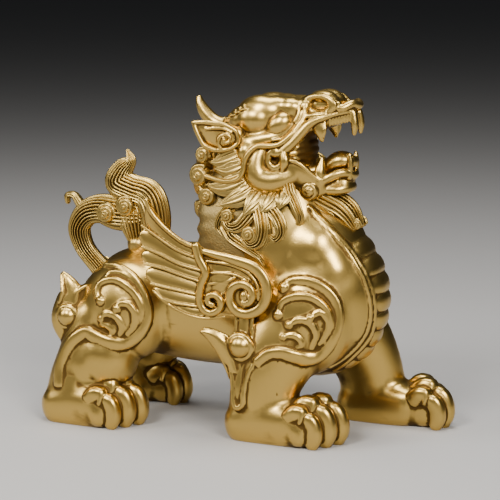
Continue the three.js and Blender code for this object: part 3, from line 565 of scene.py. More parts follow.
DIVIDER = [
    (-6, 48.4), (-5.2, 45.6), (-3.4, 42), (-4.7, 38.6), (-5, 35.2), (-4, 32.7), (-1.8, 31.9), (0.3, 33.2),
    (0.6, 35.2), (-1, 36.5), (-2.7, 36), (-2.7, 34.5), (-1.6, 34),
]


def spread(x):
    """How far out the wing's face lies at x: it flares toward the tips."""
    return -17.9 - 2.2 * min(max((-5 - x) / 14, 0), 1) ** 1.3


def wing():
    """Feathers and quills, on a board that a volute and a divider frame."""
    volute = [(x, -17.8 - 0.06 * i, z, 0.9, half) for i, (x, z, half) in enumerate(VOLUTE)]
    divider = [(x, -18.7, z, 1, 1.1 - 0.025 * i) for i, (x, z) in enumerate(DIVIDER)]
    forms = [
        ball((-4.8, -16.9, 39.6), (5.6, 1.5, 7.4)),
        ball((0.6, -16.9, 39.2), (5.6, 1.5, 7)),
        sweep([(-6, -17, 39.6, 0.9, 7.6), (0, -17.1, 39, 0.9, 7.4), (7, -17.1, 38, 0.9, 6.4)],
              sides=32, flat=0.8),
        sweep([(7, -10, 37.2, 6.2), (7, -17.7, 37.2, 6.2)], sides=48, toward=(1, 0, 0), blunt=True),
        sweep(volute, sides=18, steps=6, flat=0.25),
        ball((6.9, -17.9, 36.6), (1.7, 1.6, 1.7)),
        line([(7.6, -19.5, 37.4), (8.2, -19.2, 36.2), (7.4, -19.3, 35.2), (6.2, -19.3, 35.4)], 0.3),
        sweep(divider, sides=16, steps=6, flat=0.4),
        sweep([(-12, -13, 40, 4, 3), (0, -13, 38, 5, 5), (7, -13, 37, 4.6, 5)]),
    ]
    for places in FEATHERS:
        stations = [(x, spread(x) + 0.25, z, 0.8 if half > 0.5 else 0.3, half) for x, z, half in places]
        forms.append(sweep(stations, sides=24, steps=6, toward=(0, 1, -0.3), flat=0.25))
    for i, places in enumerate(QUILLS):
        out, radius = (0.75, 0.36) if i else (0.5, 0.62)
        forms.append(line([(x, spread(x) - out, z) for x, z in places], radius))
    return forms + [line([(x, -18, z) for x, z in places], 0.4, deep=1.2) for places in BAND_LINES]


# The tail's locks are cut into fine strands that follow them.
def tail():
    lock = dict(sides=144, steps=7, strands=24, cut=0.2)
    forms = [
        central([(-38, 34.4, 3.4, 3), (-41.4, 38.2, 3.6, 2.4), (-45.6, 43.2, 3.8, 2.3),
                 (-46.9, 48.2, 4, 2.8), (-44.6, 52, 4, 3.4), (-40.6, 53.4, 4, 3.9), (-36, 52.6, 4, 4.6),
                 (-31, 52.4, 3.8, 4.6)], **lock),
        central([(-29.6, 44.6, 3.2, 2.3), (-30.6, 48.6, 3.8, 3.6), (-31.5, 52.5, 4, 5)], **lock),
        central([(-24.6, 40, 3.4, 3.4), (-24.8, 47, 3.8, 3.5), (-25, 52.6, 4, 3.9), (-27, 57.4, 4, 4.2),
                 (-31.4, 59, 4, 3.8), (-35.2, 60.8, 3.8, 3.9), (-34, 64.2, 2.8, 2.9),
                 (-32, 66.6, 1.6, 1.5), (-32.8, 69, 0.4, 0.4)], **lock),
        central([(-44.6, 51.6, 2, 1.6), (-46.6, 54.4, 1.8, 1.3), (-48.4, 56.6, 1.5, 1),
                 (-50.2, 56.4, 1.3, 0.9), (-50.2, 54.8, 1.1, 0.7)], sides=48, strands=8),
        central([(-29.6, 38, 3.2, 3.2), (-29.6, 42, 3, 2.5), (-29.7, 44.6, 3.1, 2.3)], sides=24),
        central([(-29.8, 44.2, 3.7, 2.8), (-29.9, 45, 3.7, 2.8)], sides=24),
    ]
    curls = copied(snail(2.8, turns=2.6), [(-37.6, -3, 52.8), (-32, -3, 54.9)],
                   turns=[facing((0, -1, 0)), facing((0, -1, 0), 1.2)])
    return forms + both(curls)


# The head: soft masses that melt together, then the crisp carving on them.
LIP_SIDE = [
    (13.6, -8.2, 69.2), (14.6, -8.3, 68.9), (16.5, -8.1, 68.5), (18, -7.7, 67.6), (19.6, -7, 66),
    (20.9, -6.4, 64.7), (22, -5.9, 64),
]
LIP_FRONT = [
    (21.6, -5.8, 63.9), (23, -5.4, 64.6), (24.6, -4.8, 65.5), (26.1, -4, 66.1), (27.5, -2.8, 66.2),
    (28.4, -1.5, 65.6), (28.6, 0, 65.4),
]


def skull():
    return [
        ball((1.8, 0, 72.8), (8, 8, 7.4)),
        ball((6.4, 0, 70.4), (7.6, 7.6, 8)),
        ball((-1.6, 0, 67.6), (7, 9.2, 7.2)),
        central([(-2, 76.6, 5.6, 3.8), (3, 79, 5, 4), (8, 81, 5, 3.4), (13, 81.2, 4.6, 3),
                 (18, 81.4, 3.6, 2.8), (23, 82, 2.4, 2.2)], sides=28),
        central([(8, 74, 7, 3.4), (14, 76.2, 6.2, 3.6), (20, 78.5, 4.4, 2.6), (25.4, 79.9, 3.2, 1.8),
                 (28.4, 80.9, 2.4, 0.9)], sides=28),
        central([(5, 64.6, 8, 5), (12, 63.6, 7.2, 4), (18, 62.8, 5.6, 3), (23, 62.8, 4.8, 2.4),
                 (26.6, 63.6, 3.4, 2)], sides=28),
    ]


def brow():
    """The bulging brow, whose outer lobe hangs over the eye, and the cheekbone under it."""
    return [
        ball((4.8, -6, 79), (4.9, 3.9, 4)),
        ball((6, -4.6, 80.8), (6.2, 4.2, 4.2)),
        ball((2, -4, 78.7), (5, 4.6, 3.6)),
        ball((9.6, -3.8, 82), (4.4, 3.4, 2.8)),
        ball((13.4, -3.8, 82), (3.6, 3.2, 2.6)),
        ball((13.4, -5, 80.9), (2.6, 2, 1.7)),
        ball((3.6, -8.4, 71), (2.9, 2.8, 3)),
        sweep([(2.6, -7.6, 73, 2.3), (7.4, -7.2, 74, 2.3), (11.4, -6.7, 75, 2.1), (14.4, -5.8, 77.2, 1.8),
               (15.8, -4.6, 80, 1.6)]),
    ]


def cheek():
    return [
        sweep([(7.2, -7.4, 72, 2.3), (6.2, -8.2, 69.8, 2.7), (5.9, -8.6, 67, 3.1), (6.8, -8.6, 64.8, 3.3),
               (9.4, -8.2, 63.9, 3.4), (12.2, -7.9, 64.4, 3), (15, -7.3, 65.6, 2.3)], sides=24),
        ball((9.4, -6, 67), (4.6, 2.4, 4)),
    ]


def lower_jaw():
    """The lower lip's side in two broad waves, its front, and the chin."""
    return [
        sweep([(x - 0.9, y + 0.4, z - 1.5, 1.5, 2.6) for x, y, z in LIP_SIDE], sides=24, flat=0.4),
        sweep([(x - 2, y + 1, z - 4, 1.2, 1.6) for x, y, z in LIP_SIDE[:5]], sides=16),
        sweep([(*place, 1.2) for place in LIP_FRONT], sides=16),
        sweep([(22.4, -4.4, 61.8, 1.2), (25.4, -3.6, 61.9, 1.4), (27.4, -2, 62.3, 1.4),
               (27.8, 0, 62.4, 1.4)], sides=16),
        ball((20, -5, 61.9), (3, 2, 2.4)),
    ]


def nose():
    return [
        ball((17.3, -3.2, 82.2), (1.7, 2.4, 2.2)),
        ball((21.3, -2.2, 84.7), (3.5, 2.8, 1.7)),
        ball((24.4, -2.2, 83), (1.4, 2.6, 2.1)),
        ball((20.8, -1.2, 82.6), (3.6, 1.5, 2.2)),
        sweep([(17.6, -4.2, 79.9, 1.1), (20.4, -4.3, 80.2, 1.2), (23.6, -3.8, 80.9, 1)], sides=16),
    ]


def horn():
    forms = [central([(-1.4, 76.8, 2.8, 2.4), (-5, 76.4, 2.3, 2.1), (-8.4, 77.3, 2, 1.9),
                      (-11, 79.6, 1.8, 1.7), (-12.4, 82, 1.3, 1.2), (-12.7, 83.2, 0.9, 0.8)])]
    for k in range(4):
        x = -3.4 - 1.1 * k
        forms.append(sweep([(x, -2.6, 75.2, 0.4), (x - 0.1, 0, 78.8 - 0.2 * k, 0.45), (x, 2.6, 75.2, 0.4)],
                           sides=10, toward=(1, 0, 0)))
    return forms


def eye():
    """The eyeball, the lid's edge under it and a crease in front."""
    return [
        ball((11.3, -6.2, 77.7), (3.9, 2.9, 2.9), tilt=40, sides=32, rings=20),
        line([(10.6, -9, 74.2), (13.2, -8.5, 74.9), (15.2, -7.6, 77), (16.6, -6.6, 79.4),
              (17, -5.8, 81.2)], 0.33),
        line([(16.2, -5.6, 82.6), (16.3, -6.4, 80.8), (15.6, -7.2, 78.9)], 0.4),
    ]


def brow_strokes():
    """Short strokes that stand for the worn carving over the temple."""
    forms = []
    for k in range(4):
        x, y, z = -1.6 + 1.4 * k, -6.4 - 0.5 * k, 80.2 + 0.8 * k
        for ends in ([(x, y, z), (x + 0.5, y - 0.8, z - 1.6)],
                     [(x - 0.9, y - 0.8, z - 1.2), (x + 1, y - 1, z - 0.9)]):
            forms.append(line(ends, 0.26, sides=8, steps=2))
    return forms


def nostril():
    return [
        ring((20.9, -4.4, 82.9), 2.1, 0.75, yaw=-12, long=1.8),
        ball((21, -2.6, 82.8), (2.8, 1.6, 2)),
        sweep([(17.8, -5.6, 79.9, 0.5), (20, -5.7, 80.3, 0.8), (22.4, -5.4, 80.6, 0.8),
               (23.6, -4.9, 81.4, 0.6)], sides=14),
        *[sweep([(x, -3.4, 83.8, 0.3), (x + 0.6, 0, 84.5, 0.4)], sides=8, toward=(1, 0, 0))
          for x in (15.2, 16.4, 17.6)],
    ]


def lips():
    """The whisker that runs back along the lip to the mane, the lip's side and its turned-up front."""
    return [
        line([(17.6, -5.2, 81.6), (17.7, -6, 80), (16.9, -6.9, 78.4), (15.9, -7.7, 76.8), (14.9, -8.5, 75.5),
              (13.7, -9, 74.3), (12, -9.5, 73.2), (9.5, -10, 72.8), (6.8, -10.7, 72.7), (5.5, -11.2, 71.6),
              (4.6, -11.5, 70.3), (4, -11.6, 68.8), (3.7, -11.8, 66.8), (3, -11.9, 65.2), (1.7, -12, 64.3),
              (-0.4, -12, 63.9), (-2.6, -11.8, 64), (-6.4, -11, 64.8)], 0.66, steps=4),
        sweep([(9.6, -8.6, 71, 1.1, 0.9), (12.4, -8.7, 71.2, 1.3, 1.2), (14.2, -8.4, 72.6, 1.3, 1.3),
               (16, -7.8, 74.5, 1.3, 1.3), (17.4, -7.2, 76.3, 1.3, 1.3), (18.8, -6.6, 78, 1.2, 1.2),
               (20.4, -6, 79, 1.1, 1), (22.6, -5.4, 79.8, 1, 0.8), (24.8, -4.6, 80.6, 0.9, 0.7),
               (27, -3.7, 81.1, 0.8, 0.6), (29, -2.3, 81.4, 0.7, 0.6)]),
        line([(13.4, -9.3, 72.3), (15, -8.8, 74), (16.6, -8.1, 75.9), (18, -7.4, 77.8), (19.6, -6.7, 79),
              (21.6, -6, 79.8)], 0.4),
        line([(25.6, -4, 82.9), (26, -4.3, 82.2), (26.9, -4, 82.2), (27.8, -3.4, 82.7), (28.8, -2.4, 83.2),
              (29.5, -1.2, 82.9), (29.7, 0, 82.7)], 1.05, sides=14),
    ]


def mouth_corner():
    return [
        ring((11.2, -9, 69.5), 1.9, 0.85, tilt=90, long=1.12),
        sweep([(13.3, -9.2, 71.4, 0.8, 0.9), (13.9, -9.8, 69, 0.8, 1.1), (13.1, -9.7, 66.6, 0.3, 0.3)],
              sides=14),
    ]


def ear():
    """A cupped ear: a thin leaf with a rim all round and a curl at its root."""
    return [
        sweep([(1.2, -8.2, 74.6, 1.6, 2.6), (-1.2, -10.2, 74.6, 1, 3.4), (-4, -11.6, 75, 0.8, 3.1),
               (-6.6, -12.6, 76.4, 0.6, 1.9), (-8.5, -13.2, 78, 0.3, 0.4)], sides=24),
        line([(-8.7, -13.4, 78.3), (-6, -12.9, 78.4), (-3.6, -12.3, 78.1), (-1.5, -11.6, 77.9),
              (0.2, -11, 77.1), (1.4, -10.6, 76.2), (1.9, -10.4, 74.8), (1.7, -10.6, 73.2),
              (0.6, -11.2, 72.2), (-0.6, -11.8, 71.8), (-2.6, -12.2, 71.5), (-4.4, -12.8, 71.9),
              (-6, -13.2, 72.8), (-7, -13.4, 74.4), (-7.9, -13.5, 76.3), (-8.7, -13.4, 78.2)],
             0.6, steps=4),
        line([(-5.6, -12.9, 76.8), (-3.4, -12.4, 77), (-1.2, -11.8, 76.8), (0.4, -11.3, 76)], 0.4),
        line([(-1.9, -12.3, 72), (-2.5, -12.5, 73.4), (-2, -12.4, 75), (-0.7, -12, 75.5), (0.3, -11.7, 74.8),
              (0.1, -11.9, 73.7), (-0.9, -12.3, 73.5), (-1, -12.5, 74.3)], 0.5),
    ]


def fang(spots, radii):
    return sweep([(*spot, radius) for spot, radius in zip(spots, radii)], sides=14)


def teeth():
    small = [(23.9 + 0.66 * i, -5.1 + 0.3 * i, 79.8 + 0.14 * i) for i in range(8)]
    return [
        sweep([(20.8, -4.9, 79.2, 1.2, 2), (21.3, -5.2, 77.2, 1.2, 1.8), (21.8, -5.4, 75.6, 0.9, 1.2),
               (22.1, -5.4, 74.2, 0.4, 0.5)], sides=16),
        fang([(22.7, -5.4, 78.6), (22.9, -5.9, 76.8), (22.6, -5.9, 75.2)], (0.5, 0.5, 0.3)),
        fang([(29.1, -2.3, 80.8), (29.5, -2.5, 78), (29.4, -2.5, 76)], (0.9, 0.95, 0.6)),
        fang([(21.4, -5.2, 64.4), (21.6, -5.4, 66.4), (21.9, -5.4, 68.4), (22.1, -5.3, 69.8)],
             (1.7, 1.6, 0.9, 0.4)),
        fang([(28.2, -2.4, 65), (28.5, -2.4, 68.6), (28.3, -2.4, 70.6)], (0.7, 0.7, 0.5)),
        *copied(fang([(0, 0, 0.8), (0.1, 0, -0.8), (0, 0, -1.9)], (0.4, 0.38, 0.24)), small),
    ]


def lower_lip():
    return [
        line([(x, y - 0.6, z + 0.5) for x, y, z in LIP_SIDE], 0.55),
        line([(x - 1.2, y - 0.6, z - 1.6) for x, y, z in LIP_SIDE[:6]], 0.45),
        line([(x, y - 0.3, z + 0.5) for x, y, z in LIP_FRONT], 0.6),
        *copied(snail(2.7), [(19.4, -6.5, 62)], turns=[facing((0, -1, -0.1), 2)]),
    ]


def mouth_inside():
    """The pleats across the back of the mouth, and the tongue."""
    return [
        sweep([(11.6, -7, 70.4, 2.2, 1.6), (14.6, -5, 71, 4.6, 2.6), (15.6, 0, 71.2, 5.8, 3.4),
               (14.6, 5, 71, 4.6, 2.6), (11.6, 7, 70.4, 2.2, 1.6)], sides=108, toward=(0, 0, 1),
              strands=18, cut=0.1),
        central([(12, 65.8, 4, 2), (19, 66, 3.2, 2.2), (22.6, 67.2, 2.6, 2.4), (24.8, 68, 2.4, 2),
                 (26.6, 67.6, 2, 1.5)], sides=24),
        central([(22.4, 66.2, 3, 2), (23.4, 67.6, 3.2, 2.5), (24.9, 68.6, 3.3, 2.6), (26.5, 68.9, 3, 2.3),
                 (28, 68.8, 2.3, 1.6)], sides=28),
    ]


def head():
    soft = fused(joined(skull() + both(brow() + cheek() + nose() + lower_jaw())), grain=0.38, polish=14)
    crisp = eye() + brow_strokes() + nostril() + lips() + mouth_corner() + ear() + teeth() + lower_lip()
    piece = joined([soft] + horn() + mouth_inside() + both(crisp))
    return thinned(fused(piece, grain=0.18, polish=2), FINE_FACES)


# The mane: curls over the ruff, pointed leaves under the cheek, hanging locks and a beard.
LEAVES = [
    [(6.2, -8.8, 62.6), (4.4, -11.2, 60.8), (2.2, -12.5, 59.6), (-0.2, -13.1, 58.7), (-3, -13.2, 57.8)],
    [(8.4, -8.6, 62), (7.6, -11, 60.2), (6.6, -12.5, 58.6), (5.5, -13.3, 57.2), (4.2, -13.4, 55.6)],
    [(11, -8.4, 62), (10.8, -10.6, 60.4), (10.2, -12.1, 59), (9.5, -12.9, 57.8), (8.6, -13.1, 56.6)],
    [(13.4, -7.8, 62.6), (13.9, -9.8, 61.4), (13.9, -11.2, 60.2), (13.6, -12, 59), (13.2, -12.1, 57.6)],
    [(3, -10.8, 64.2), (0.8, -11.5, 63), (-1.6, -11.9, 62.2), (-3.8, -11.9, 62.2), (-6, -11.7, 62.8)],
    [(1, -10, 70.2), (-0.2, -10.4, 69.6), (-2, -10.8, 68.9), (-3.6, -10.9, 68.4), (-5.4, -10.8, 68.2)],
    [(2.4, -10.4, 67.6), (0.8, -10.9, 66.9), (-0.9, -11.1, 66.4), (-2.4, -11.1, 66.5), (-4, -11, 66.9)],
]
LEAF_HALVES = (2.2, 2.6, 2.3, 1.3, 0.15)  # half widths, from the root to the tip
LOCKS = [
    ([(6.4, -9.6, 59), (5.9, -10.8, 56.8), (4.7, -11.8, 54.8), (2.6, -12.5, 52.8), (0.4, -12.7, 52.8),
      (-0.8, -12.8, 54.4)], 2.1),
    ([(7.6, -9.6, 59), (8, -11, 57.2), (8.8, -12.2, 54.8), (9.2, -12.9, 51.9), (8.3, -13.3, 49.3),
      (6.4, -13.5, 48.6), (4.8, -13.6, 49.8)], 2.2),
    ([(9.8, -9.2, 59.6), (10.8, -10.6, 57.4), (12.5, -11.5, 55.6), (13.7, -12, 53.4), (13.8, -12.2, 51.6),
      (12.6, -12.4, 50.2), (11.6, -12.5, 50.8)], 2),
    ([(14.4, -8.4, 63), (15.2, -9.4, 61.4), (16.4, -10, 59.6), (17.5, -10.4, 57.4), (18.2, -10.4, 55.6),
      (17.9, -10.4, 54.4)], 1.7),
    ([(-0.7, -11.6, 52.2), (0.8, -12.2, 50.2), (3.9, -12.8, 48.4), (6.6, -13.1, 47), (8.8, -13.2, 45.6),
      (9.9, -13.2, 43.9)], 1.7),
    ([(9, -9.6, 59), (10, -10.8, 55.6), (11, -11.8, 52.6), (10.9, -12.4, 49.6), (9.6, -12.8, 47.4)], 1.8),
    ([(2.4, -10.2, 59), (0.4, -11, 57.4), (-2, -11.4, 55), (-2.8, -11.6, 52.4), (-1.4, -11.8, 50.4)], 1.7),
]
CURLS = [
    ((-7.6, -8.6, 69.8), 2.3), ((-8.4, -8.8, 64.8), 2.9), ((-6, -10, 60), 2.5), ((0, -12.6, 55.6), 1.9),
    ((5.9, -13.5, 51.4), 2), ((-9, -3, 67.6), 3), ((-9.6, -3, 61.6), 3.2), ((-9, -4.4, 56), 3),
    ((-7.4, -7.6, 55.6), 2.4),
]


def mane():
    whole = 3  # the radius of the curl that is copied
    sizes = [radius / whole for _, radius in CURLS]
    places, turns = [], []
    for i, ((x, y, z), radius) in enumerate(CURLS):
        out = Vector(((x + 1) * 0.35, y * 1.3, (z - 62) * 0.12)).normalized()
        places.append(Vector((x, y, z)) + out * radius * 0.25)
        turns.append(facing(out, i * 1.3))
    forms = copied(snail(whole), places, sizes, turns)
    forms += copied(ball((0, 0, 0), (2.4, 2.4, 2.4), sides=16, rings=10),
                    [place for place, _ in CURLS], sizes)
    for places in LEAVES:
        stations = [(x, y + 0.2, z, 1 - 0.18 * k, LEAF_HALVES[k]) for k, (x, y, z) in enumerate(places)]
        forms.append(sweep(stations, sides=96, strands=12, cut=0.3, flat=0.3))
    for places, radius in LOCKS:
        n = len(places) - 1
        stations = [(*place, radius * (1 - 0.5 * (i / n) ** 1.5)) for i, place in enumerate(places)]
        forms.append(sweep(stations, **HAIR))
    forms.append(line([(-8.6, -10, 62.2), (-7.6, -10.6, 61.4), (-5.2, -11, 61.6), (-1, -11.2, 62)], 0.5))
    return both(forms)


def beard():
    """A broad tuft under the chin whose side locks end in small curls."""
    forms = [
        sweep([(15.8, -3.4, 62, 2.2, 2), (19.6, -3.6, 60, 2.5, 2.3), (22.8, -3.5, 58.4, 2.4, 2.4),
               (25.8, -3.3, 56.8, 2.1, 2.3), (28, -3, 54.8, 1.7, 1.9), (29.3, -2.8, 53, 1.3, 1.4)], **HAIR),
        sweep([(16.7, -4, 59.6, 1.8, 1.7), (20.4, -4.2, 57.4, 2, 1.9), (23.6, -4, 55.4, 1.8, 1.8),
               (26.2, -3.8, 53.4, 1.5, 1.5), (28, -3.6, 52, 1.1, 1.1)], **HAIR),
        *copied(snail(1.5), [(30.1, -2.4, 53.4), (28.2, -3.6, 51.8)], [1, 0.8],
                [facing((0.3, -1, 0)), facing((0.2, -1, -0.2), 1)]),
    ]
    middle = [
        central([(19, 61.4, 2.6, 1.8), (24.4, 59.8, 2.6, 1.8), (28.2, 57.4, 2.2, 1.6),
                 (30, 54.6, 1.6, 1.2), (30.7, 53, 0.8, 0.7)], **HAIR),
        central([(20, 58.4, 3, 2), (24.4, 56, 2.8, 2), (27.6, 53, 2, 1.6)], **HAIR),
    ]
    return both(forms) + middle


# Finishing: forms are melted into one skin, and set in metres in the frame's place.
# How dark a place is goes from 0 to 1, with LEVEL for smooth, clean metal; patina in the cuts and painted
# shade make it darker.
LEVEL = 0.5
# Painted shade: darker where the surface faces the floor, as if in its own shadow.
UNDERSIDE_SHADE = 0.3  # added where the surface faces the floor
# Painted shade near the floor, fading out by the height LOW.
LOW_SHADE, LOW = 0.1, 0.05  # added at the floor, and the height in metres at which it has faded out
# The most painted shade inside a cave.
CAVE_SHADE = 0.92
# The caves get painted shade: the mouth, front and back, and the rings at its corners, as centre and radii.
CAVES = (
    ((15.4, 0, 71.2), (5, 7.2, 4.6)), ((19, 0, 74.4), (8, 4.8, 4)),
    ((11.2, -7.6, 69.5), (1.3, 1.4, 1.4)), ((11.2, 7.6, 69.5), (1.3, 1.4, 1.4)),
)


def fused(piece, grain, polish):
    apply(piece, "REMESH", mode="VOXEL", voxel_size=grain, use_smooth_shade=True)
    apply(piece, "SMOOTH", factor=0.5, iterations=polish)
    return piece


def thinned(piece, faces):
    count = sum(len(f.vertices) - 2 for f in piece.data.polygons)
    if count > faces:
        apply(piece, "DECIMATE", ratio=faces / count)
    return piece


def cast(piece, name):
    piece.name = name
    piece.data.name = name
    piece.scale = (UNIT, UNIT, UNIT)
    piece.location = (-MIDDLE, 0, 0)
    only(piece)
    bpy.ops.object.transform_apply()
    bpy.ops.object.shade_smooth()


def points_of(mesh, kind):
    values = np.empty(len(mesh.vertices) * 3)
    mesh.vertices.foreach_get(kind, values)
    return values.reshape(-1, 3)


def flatten_soles(piece):
    points = points_of(piece.data, "co")
    points[:, 2] = np.maximum(points[:, 2], 0)
    piece.data.vertices.foreach_set("co", points.ravel())
    piece.data.update()


def mark_patina_and_shade(piece, reach, step):
    """Stores how dark each point is, from 0 on a raised edge to 1 in a cut, with patina in the cuts
    and painted shade on surfaces facing the floor, near the floor and inside the mouth. Reach is how many
    rounds of smoothing give the level it is set against, and step the depth in metres that darkens fully."""
    mesh = piece.data
    n = len(mesh.vertices)
    points, normals = points_of(mesh, "co"), points_of(mesh, "normal")
    edges = np.empty(len(mesh.edges) * 2, dtype=np.int64)
    mesh.edges.foreach_get("vertices", edges)
    valence = np.maximum(np.bincount(edges, minlength=n), 1)[:, None]
    one, other = edges[0::2], edges[1::2]
    smooth = points.copy()
    for _ in range(reach):
        smooth = np.stack([
            np.bincount(one, smooth[other, k], n) + np.bincount(other, smooth[one, k], n) for k in range(3)
        ], axis=1) / valence
    depth = np.einsum("ij,ij->i", smooth - points, normals)
    # Patina in the cuts, and painted shade on surfaces that face the floor.
    value = LEVEL + depth / step + UNDERSIDE_SHADE * np.clip(-normals[:, 2], 0, 1)
    # Painted shade near the floor.
    value += LOW_SHADE * np.clip(1 - points[:, 2] / LOW, 0, 1)
    # Painted shade inside the mouth and in the rings at its corners.
    for centre, radii in CAVES:
        middle = np.array(centre) * UNIT - (MIDDLE, 0, 0)
        away = np.linalg.norm((points - middle) / (np.array(radii) * UNIT), axis=1)
        value = np.maximum(value, np.clip(4 * (1.15 - away), 0, CAVE_SHADE))
    attribute = mesh.attributes.new("patina_and_shade", "FLOAT", "POINT")
    attribute.data.foreach_set("value", np.clip(value, 0, 1))


# Materials.
CLEAN, TINT_FULL = 0.63, 0.85  # how dark a place is where the dark tint begins, and where it is whole; the tint is patina in the cuts and painted shade
CLOUDS = 0.14  # how far a soft cloud shifts that
TINT_ROUGHNESS = 0.3
GRAIN_DEPTH = 0.0004  # metres


def give(node, values):
    for name, value in values.items():
        node.inputs[name].default_value = value


def patina_and_shade_group():
    """Turns the stored darkness, patina in the cuts and painted shade, and the place, into colour, roughness
    and a fine grain.
    """
    group = bpy.data.node_groups.new("patina_and_shade_brass", "ShaderNodeTree")
    face = group.interface
    tint, number = "NodeSocketColor", "NodeSocketFloat"
    for name, kind in (("Bright", tint), ("Dull", tint), ("Polish", number)):
        face.new_socket(name, in_out="INPUT", socket_type=kind)
    for name, kind in (("Color", tint), ("Roughness", number), ("Grain", number)):
        face.new_socket(name, in_out="OUTPUT", socket_type=kind)
    nodes, links = group.nodes, group.links
    start, end = nodes.new("NodeGroupInput"), nodes.new("NodeGroupOutput")
    patina_and_shade = nodes.new("ShaderNodeAttribute")
    patina_and_shade.attribute_name = "patina_and_shade"
    place = nodes.new("ShaderNodeTexCoord")

    def noise(scale, detail):
        node = nodes.new("ShaderNodeTexNoise")
        give(node, {"Scale": scale, "Detail": detail})
        links.new(place.outputs["Object"], node.inputs["Vector"])
        return node.outputs["Fac"]

    def with_share(base, share, added):
        node = nodes.new("ShaderNodeMath")
        node.operation = "MULTIPLY_ADD"
        links.new(added, node.inputs[0])
        node.inputs[1].default_value = share
        links.new(base, node.inputs[2])
        return node.outputs[0]

    # The mask mixes in the dull colour: patina in the cuts, and painted shade underneath, at the floor and in
    # the mouth.
    mask = nodes.new("ShaderNodeMapRange")
    mask.interpolation_type = "SMOOTHSTEP"
    give(mask, {"From Min": CLEAN, "From Max": TINT_FULL})
    links.new(with_share(patina_and_shade.outputs["Fac"], CLOUDS, noise(38, 5)), mask.inputs["Value"])
    colour = nodes.new("ShaderNodeMix")
    colour.data_type = "RGBA"
    links.new(mask.outputs["Result"], colour.inputs["Factor"])
    links.new(start.outputs["Bright"], colour.inputs["A"])
    links.new(start.outputs["Dull"], colour.inputs["B"])
    rough = with_share(start.outputs["Polish"], TINT_ROUGHNESS, mask.outputs["Result"])
    links.new(colour.outputs["Result"], end.inputs["Color"])
    links.new(rough, end.inputs["Roughness"])
    links.new(noise(900, 3), end.inputs["Grain"])
    return group


PATINA_AND_SHADE_BRASS = patina_and_shade_group()


def brass(name, bright, dull, polish, grain):
    material = bpy.data.materials.new(name)
    material.use_nodes = True
    nodes, links = material.node_tree.nodes, material.node_tree.links
    shader = nodes["Principled BSDF"]
    give(shader, {"Metallic": 1})
    # Dull is the colour of the patina and of the painted shade.
    patina_and_shade_node = nodes.new("ShaderNodeGroup")
    patina_and_shade_node.node_tree = PATINA_AND_SHADE_BRASS
    give(patina_and_shade_node, {"Bright": (*bright, 1), "Dull": (*dull, 1), "Polish": polish})
    bump = nodes.new("ShaderNodeBump")
    give(bump, {"Strength": grain, "Distance": GRAIN_DEPTH})
    links.new(patina_and_shade_node.outputs["Color"], shader.inputs["Base Color"])
    links.new(patina_and_shade_node.outputs["Roughness"], shader.inputs["Roughness"])
    links.new(patina_and_shade_node.outputs["Grain"], bump.inputs["Height"])
    links.new(bump.outputs["Normal"], shader.inputs["Normal"])
    return material


def dress(piece, material):
    piece.data.materials.clear()
    piece.data.materials.append(material)
    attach(piece, "root")
    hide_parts("pixiu_figure")


def body():
    right_fore, right_toes = foreleg(PAW_X)
    left_fore, left_toes = foreleg(PAW_X + STRIDE)
    right_hind, right_hind_toes = hindleg(0)
    left_hind, left_hind_toes = hindleg(HIND_STRIDE)
    core = trunk() + right_fore + right_hind + [mirrored(left_fore + left_hind)]
    core += both([ball(*SHOULDER, sides=40, rings=26), ball(*THIGH, sides=40, rings=26)])
    core = fused(joined(core), grain=0.62, polish=26)
    bpy.context.view_layer.update()

    toes = right_toes + right_hind_toes
    toes += [((x, -y, z), size) for (x, y, z), size in left_toes + left_hind_toes]
    forms = both(scrolls(core) + chest_border(core) + hock_ornament())
    forms += chest_plates() + elbow_ornament() + [mirrored([leant(joined(elbow_ornament()))])]
    forms += copied(toe(), [place for place, _ in toes], [size for _, size in toes])
    piece = thinned(fused(joined([core] + forms), grain=0.3, polish=2), BODY_FACES)
    flatten_soles(piece)
    return piece


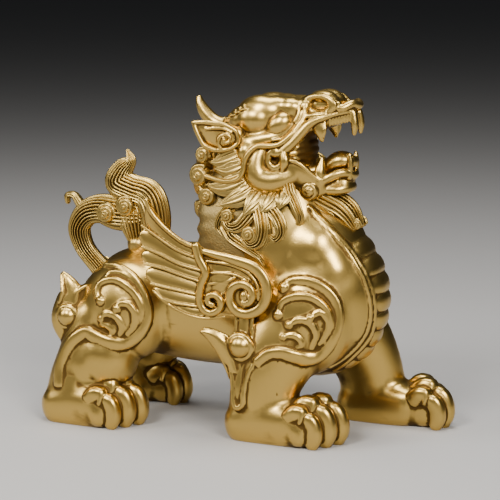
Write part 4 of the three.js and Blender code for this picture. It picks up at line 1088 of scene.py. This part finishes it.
def figure():
    # The dull colours are patina in the cuts and painted shade underneath, near the floor and in the mouth.
    satin = brass("satin_brass", (0.58, 0.385, 0.1), (0.1, 0.055, 0.014), 0.3, 0.1)
    hair = brass("carved_brass", (0.48, 0.33, 0.095), (0.04, 0.022, 0.006), 0.34, 0.12)
    matte = brass("matte_brass", (0.25, 0.18, 0.065), (0.1, 0.065, 0.02), 0.5, 0.7)

    def show(name, piece, material, reach, step):
        cast(piece, name)
        mark_patina_and_shade(piece, reach, step)
        dress(piece, material)

    show("body", body(), satin, 5, 0.0006)
    show("head", head(), satin, 7, 0.0007)
    show("wings", thinned(fused(joined(both(wing())), grain=0.16, polish=2), FINE_FACES), satin, 7, 0.0007)
    show("nape", fused(nape(), grain=0.3, polish=6), matte, 7, 0.0008)
    show("mane", thinned(joined(mane() + beard()), MANE_FACES), hair, 7, 0.00045)
    show("tail", joined(tail()), hair, 7, 0.00055)


def floor():
    deselect()
    bpy.ops.mesh.primitive_plane_add(size=60, location=(0, 0, 0))
    board = bpy.context.object
    board.name = "floor"
    material = bpy.data.materials.new("pale_floor")
    material.use_nodes = True
    give(material.node_tree.nodes["Principled BSDF"],
         {"Base Color": (0.36, 0.352, 0.345, 1), "Roughness": 0.75})
    board.data.materials.append(material)


def set_up(thing, place, back):
    """Stands a lamp or camera at a place, with its back turned to a direction."""
    holder = bpy.data.objects.new(thing.name, thing)
    bpy.context.scene.collection.objects.link(holder)
    holder.location = place
    holder.rotation_euler = back.to_track_quat("Z", "Y").to_euler()
    return holder


def soft_light(name, place, aim, size, power, colour=(1, 1, 1)):
    lamp = bpy.data.lights.new(name, "AREA")
    lamp.shape = "RECTANGLE"
    lamp.size, lamp.size_y = size
    lamp.energy = power
    lamp.color = colour
    set_up(lamp, place, Vector(place) - Vector(aim))


def studio():
    heart = (0, 0, 0.11)
    world = bpy.data.worlds.new("studio")
    world.use_nodes = True
    give(world.node_tree.nodes["Background"], {"Color": (0.55, 0.58, 0.62, 1), "Strength": 0.045})
    bpy.context.scene.world = world
    soft_light("key", (0.8, -0.85, 0.85), heart, (0.5, 0.5), 22, (1, 0.97, 0.92))
    soft_light("front", (-0.25, -1, 1), heart, (0.4, 0.4), 18, (1, 0.98, 0.94))
    soft_light("left_fill", (-0.95, -0.65, 0.75), heart, (0.4, 0.6), 9, (1, 0.98, 0.95))
    soft_light("top", (0, 0.1, 1.2), (0, 0, 0.1), (0.7, 0.5), 13)


def camera():
    eye = bpy.data.cameras.new("camera")
    eye.lens = 135
    eye.sensor_width = 36
    eye.clip_end = 100
    bpy.context.scene.camera = set_up(eye, STAND - Vector((MIDDLE, 0, 0)), BACK)


figure()
floor()
studio()
camera()
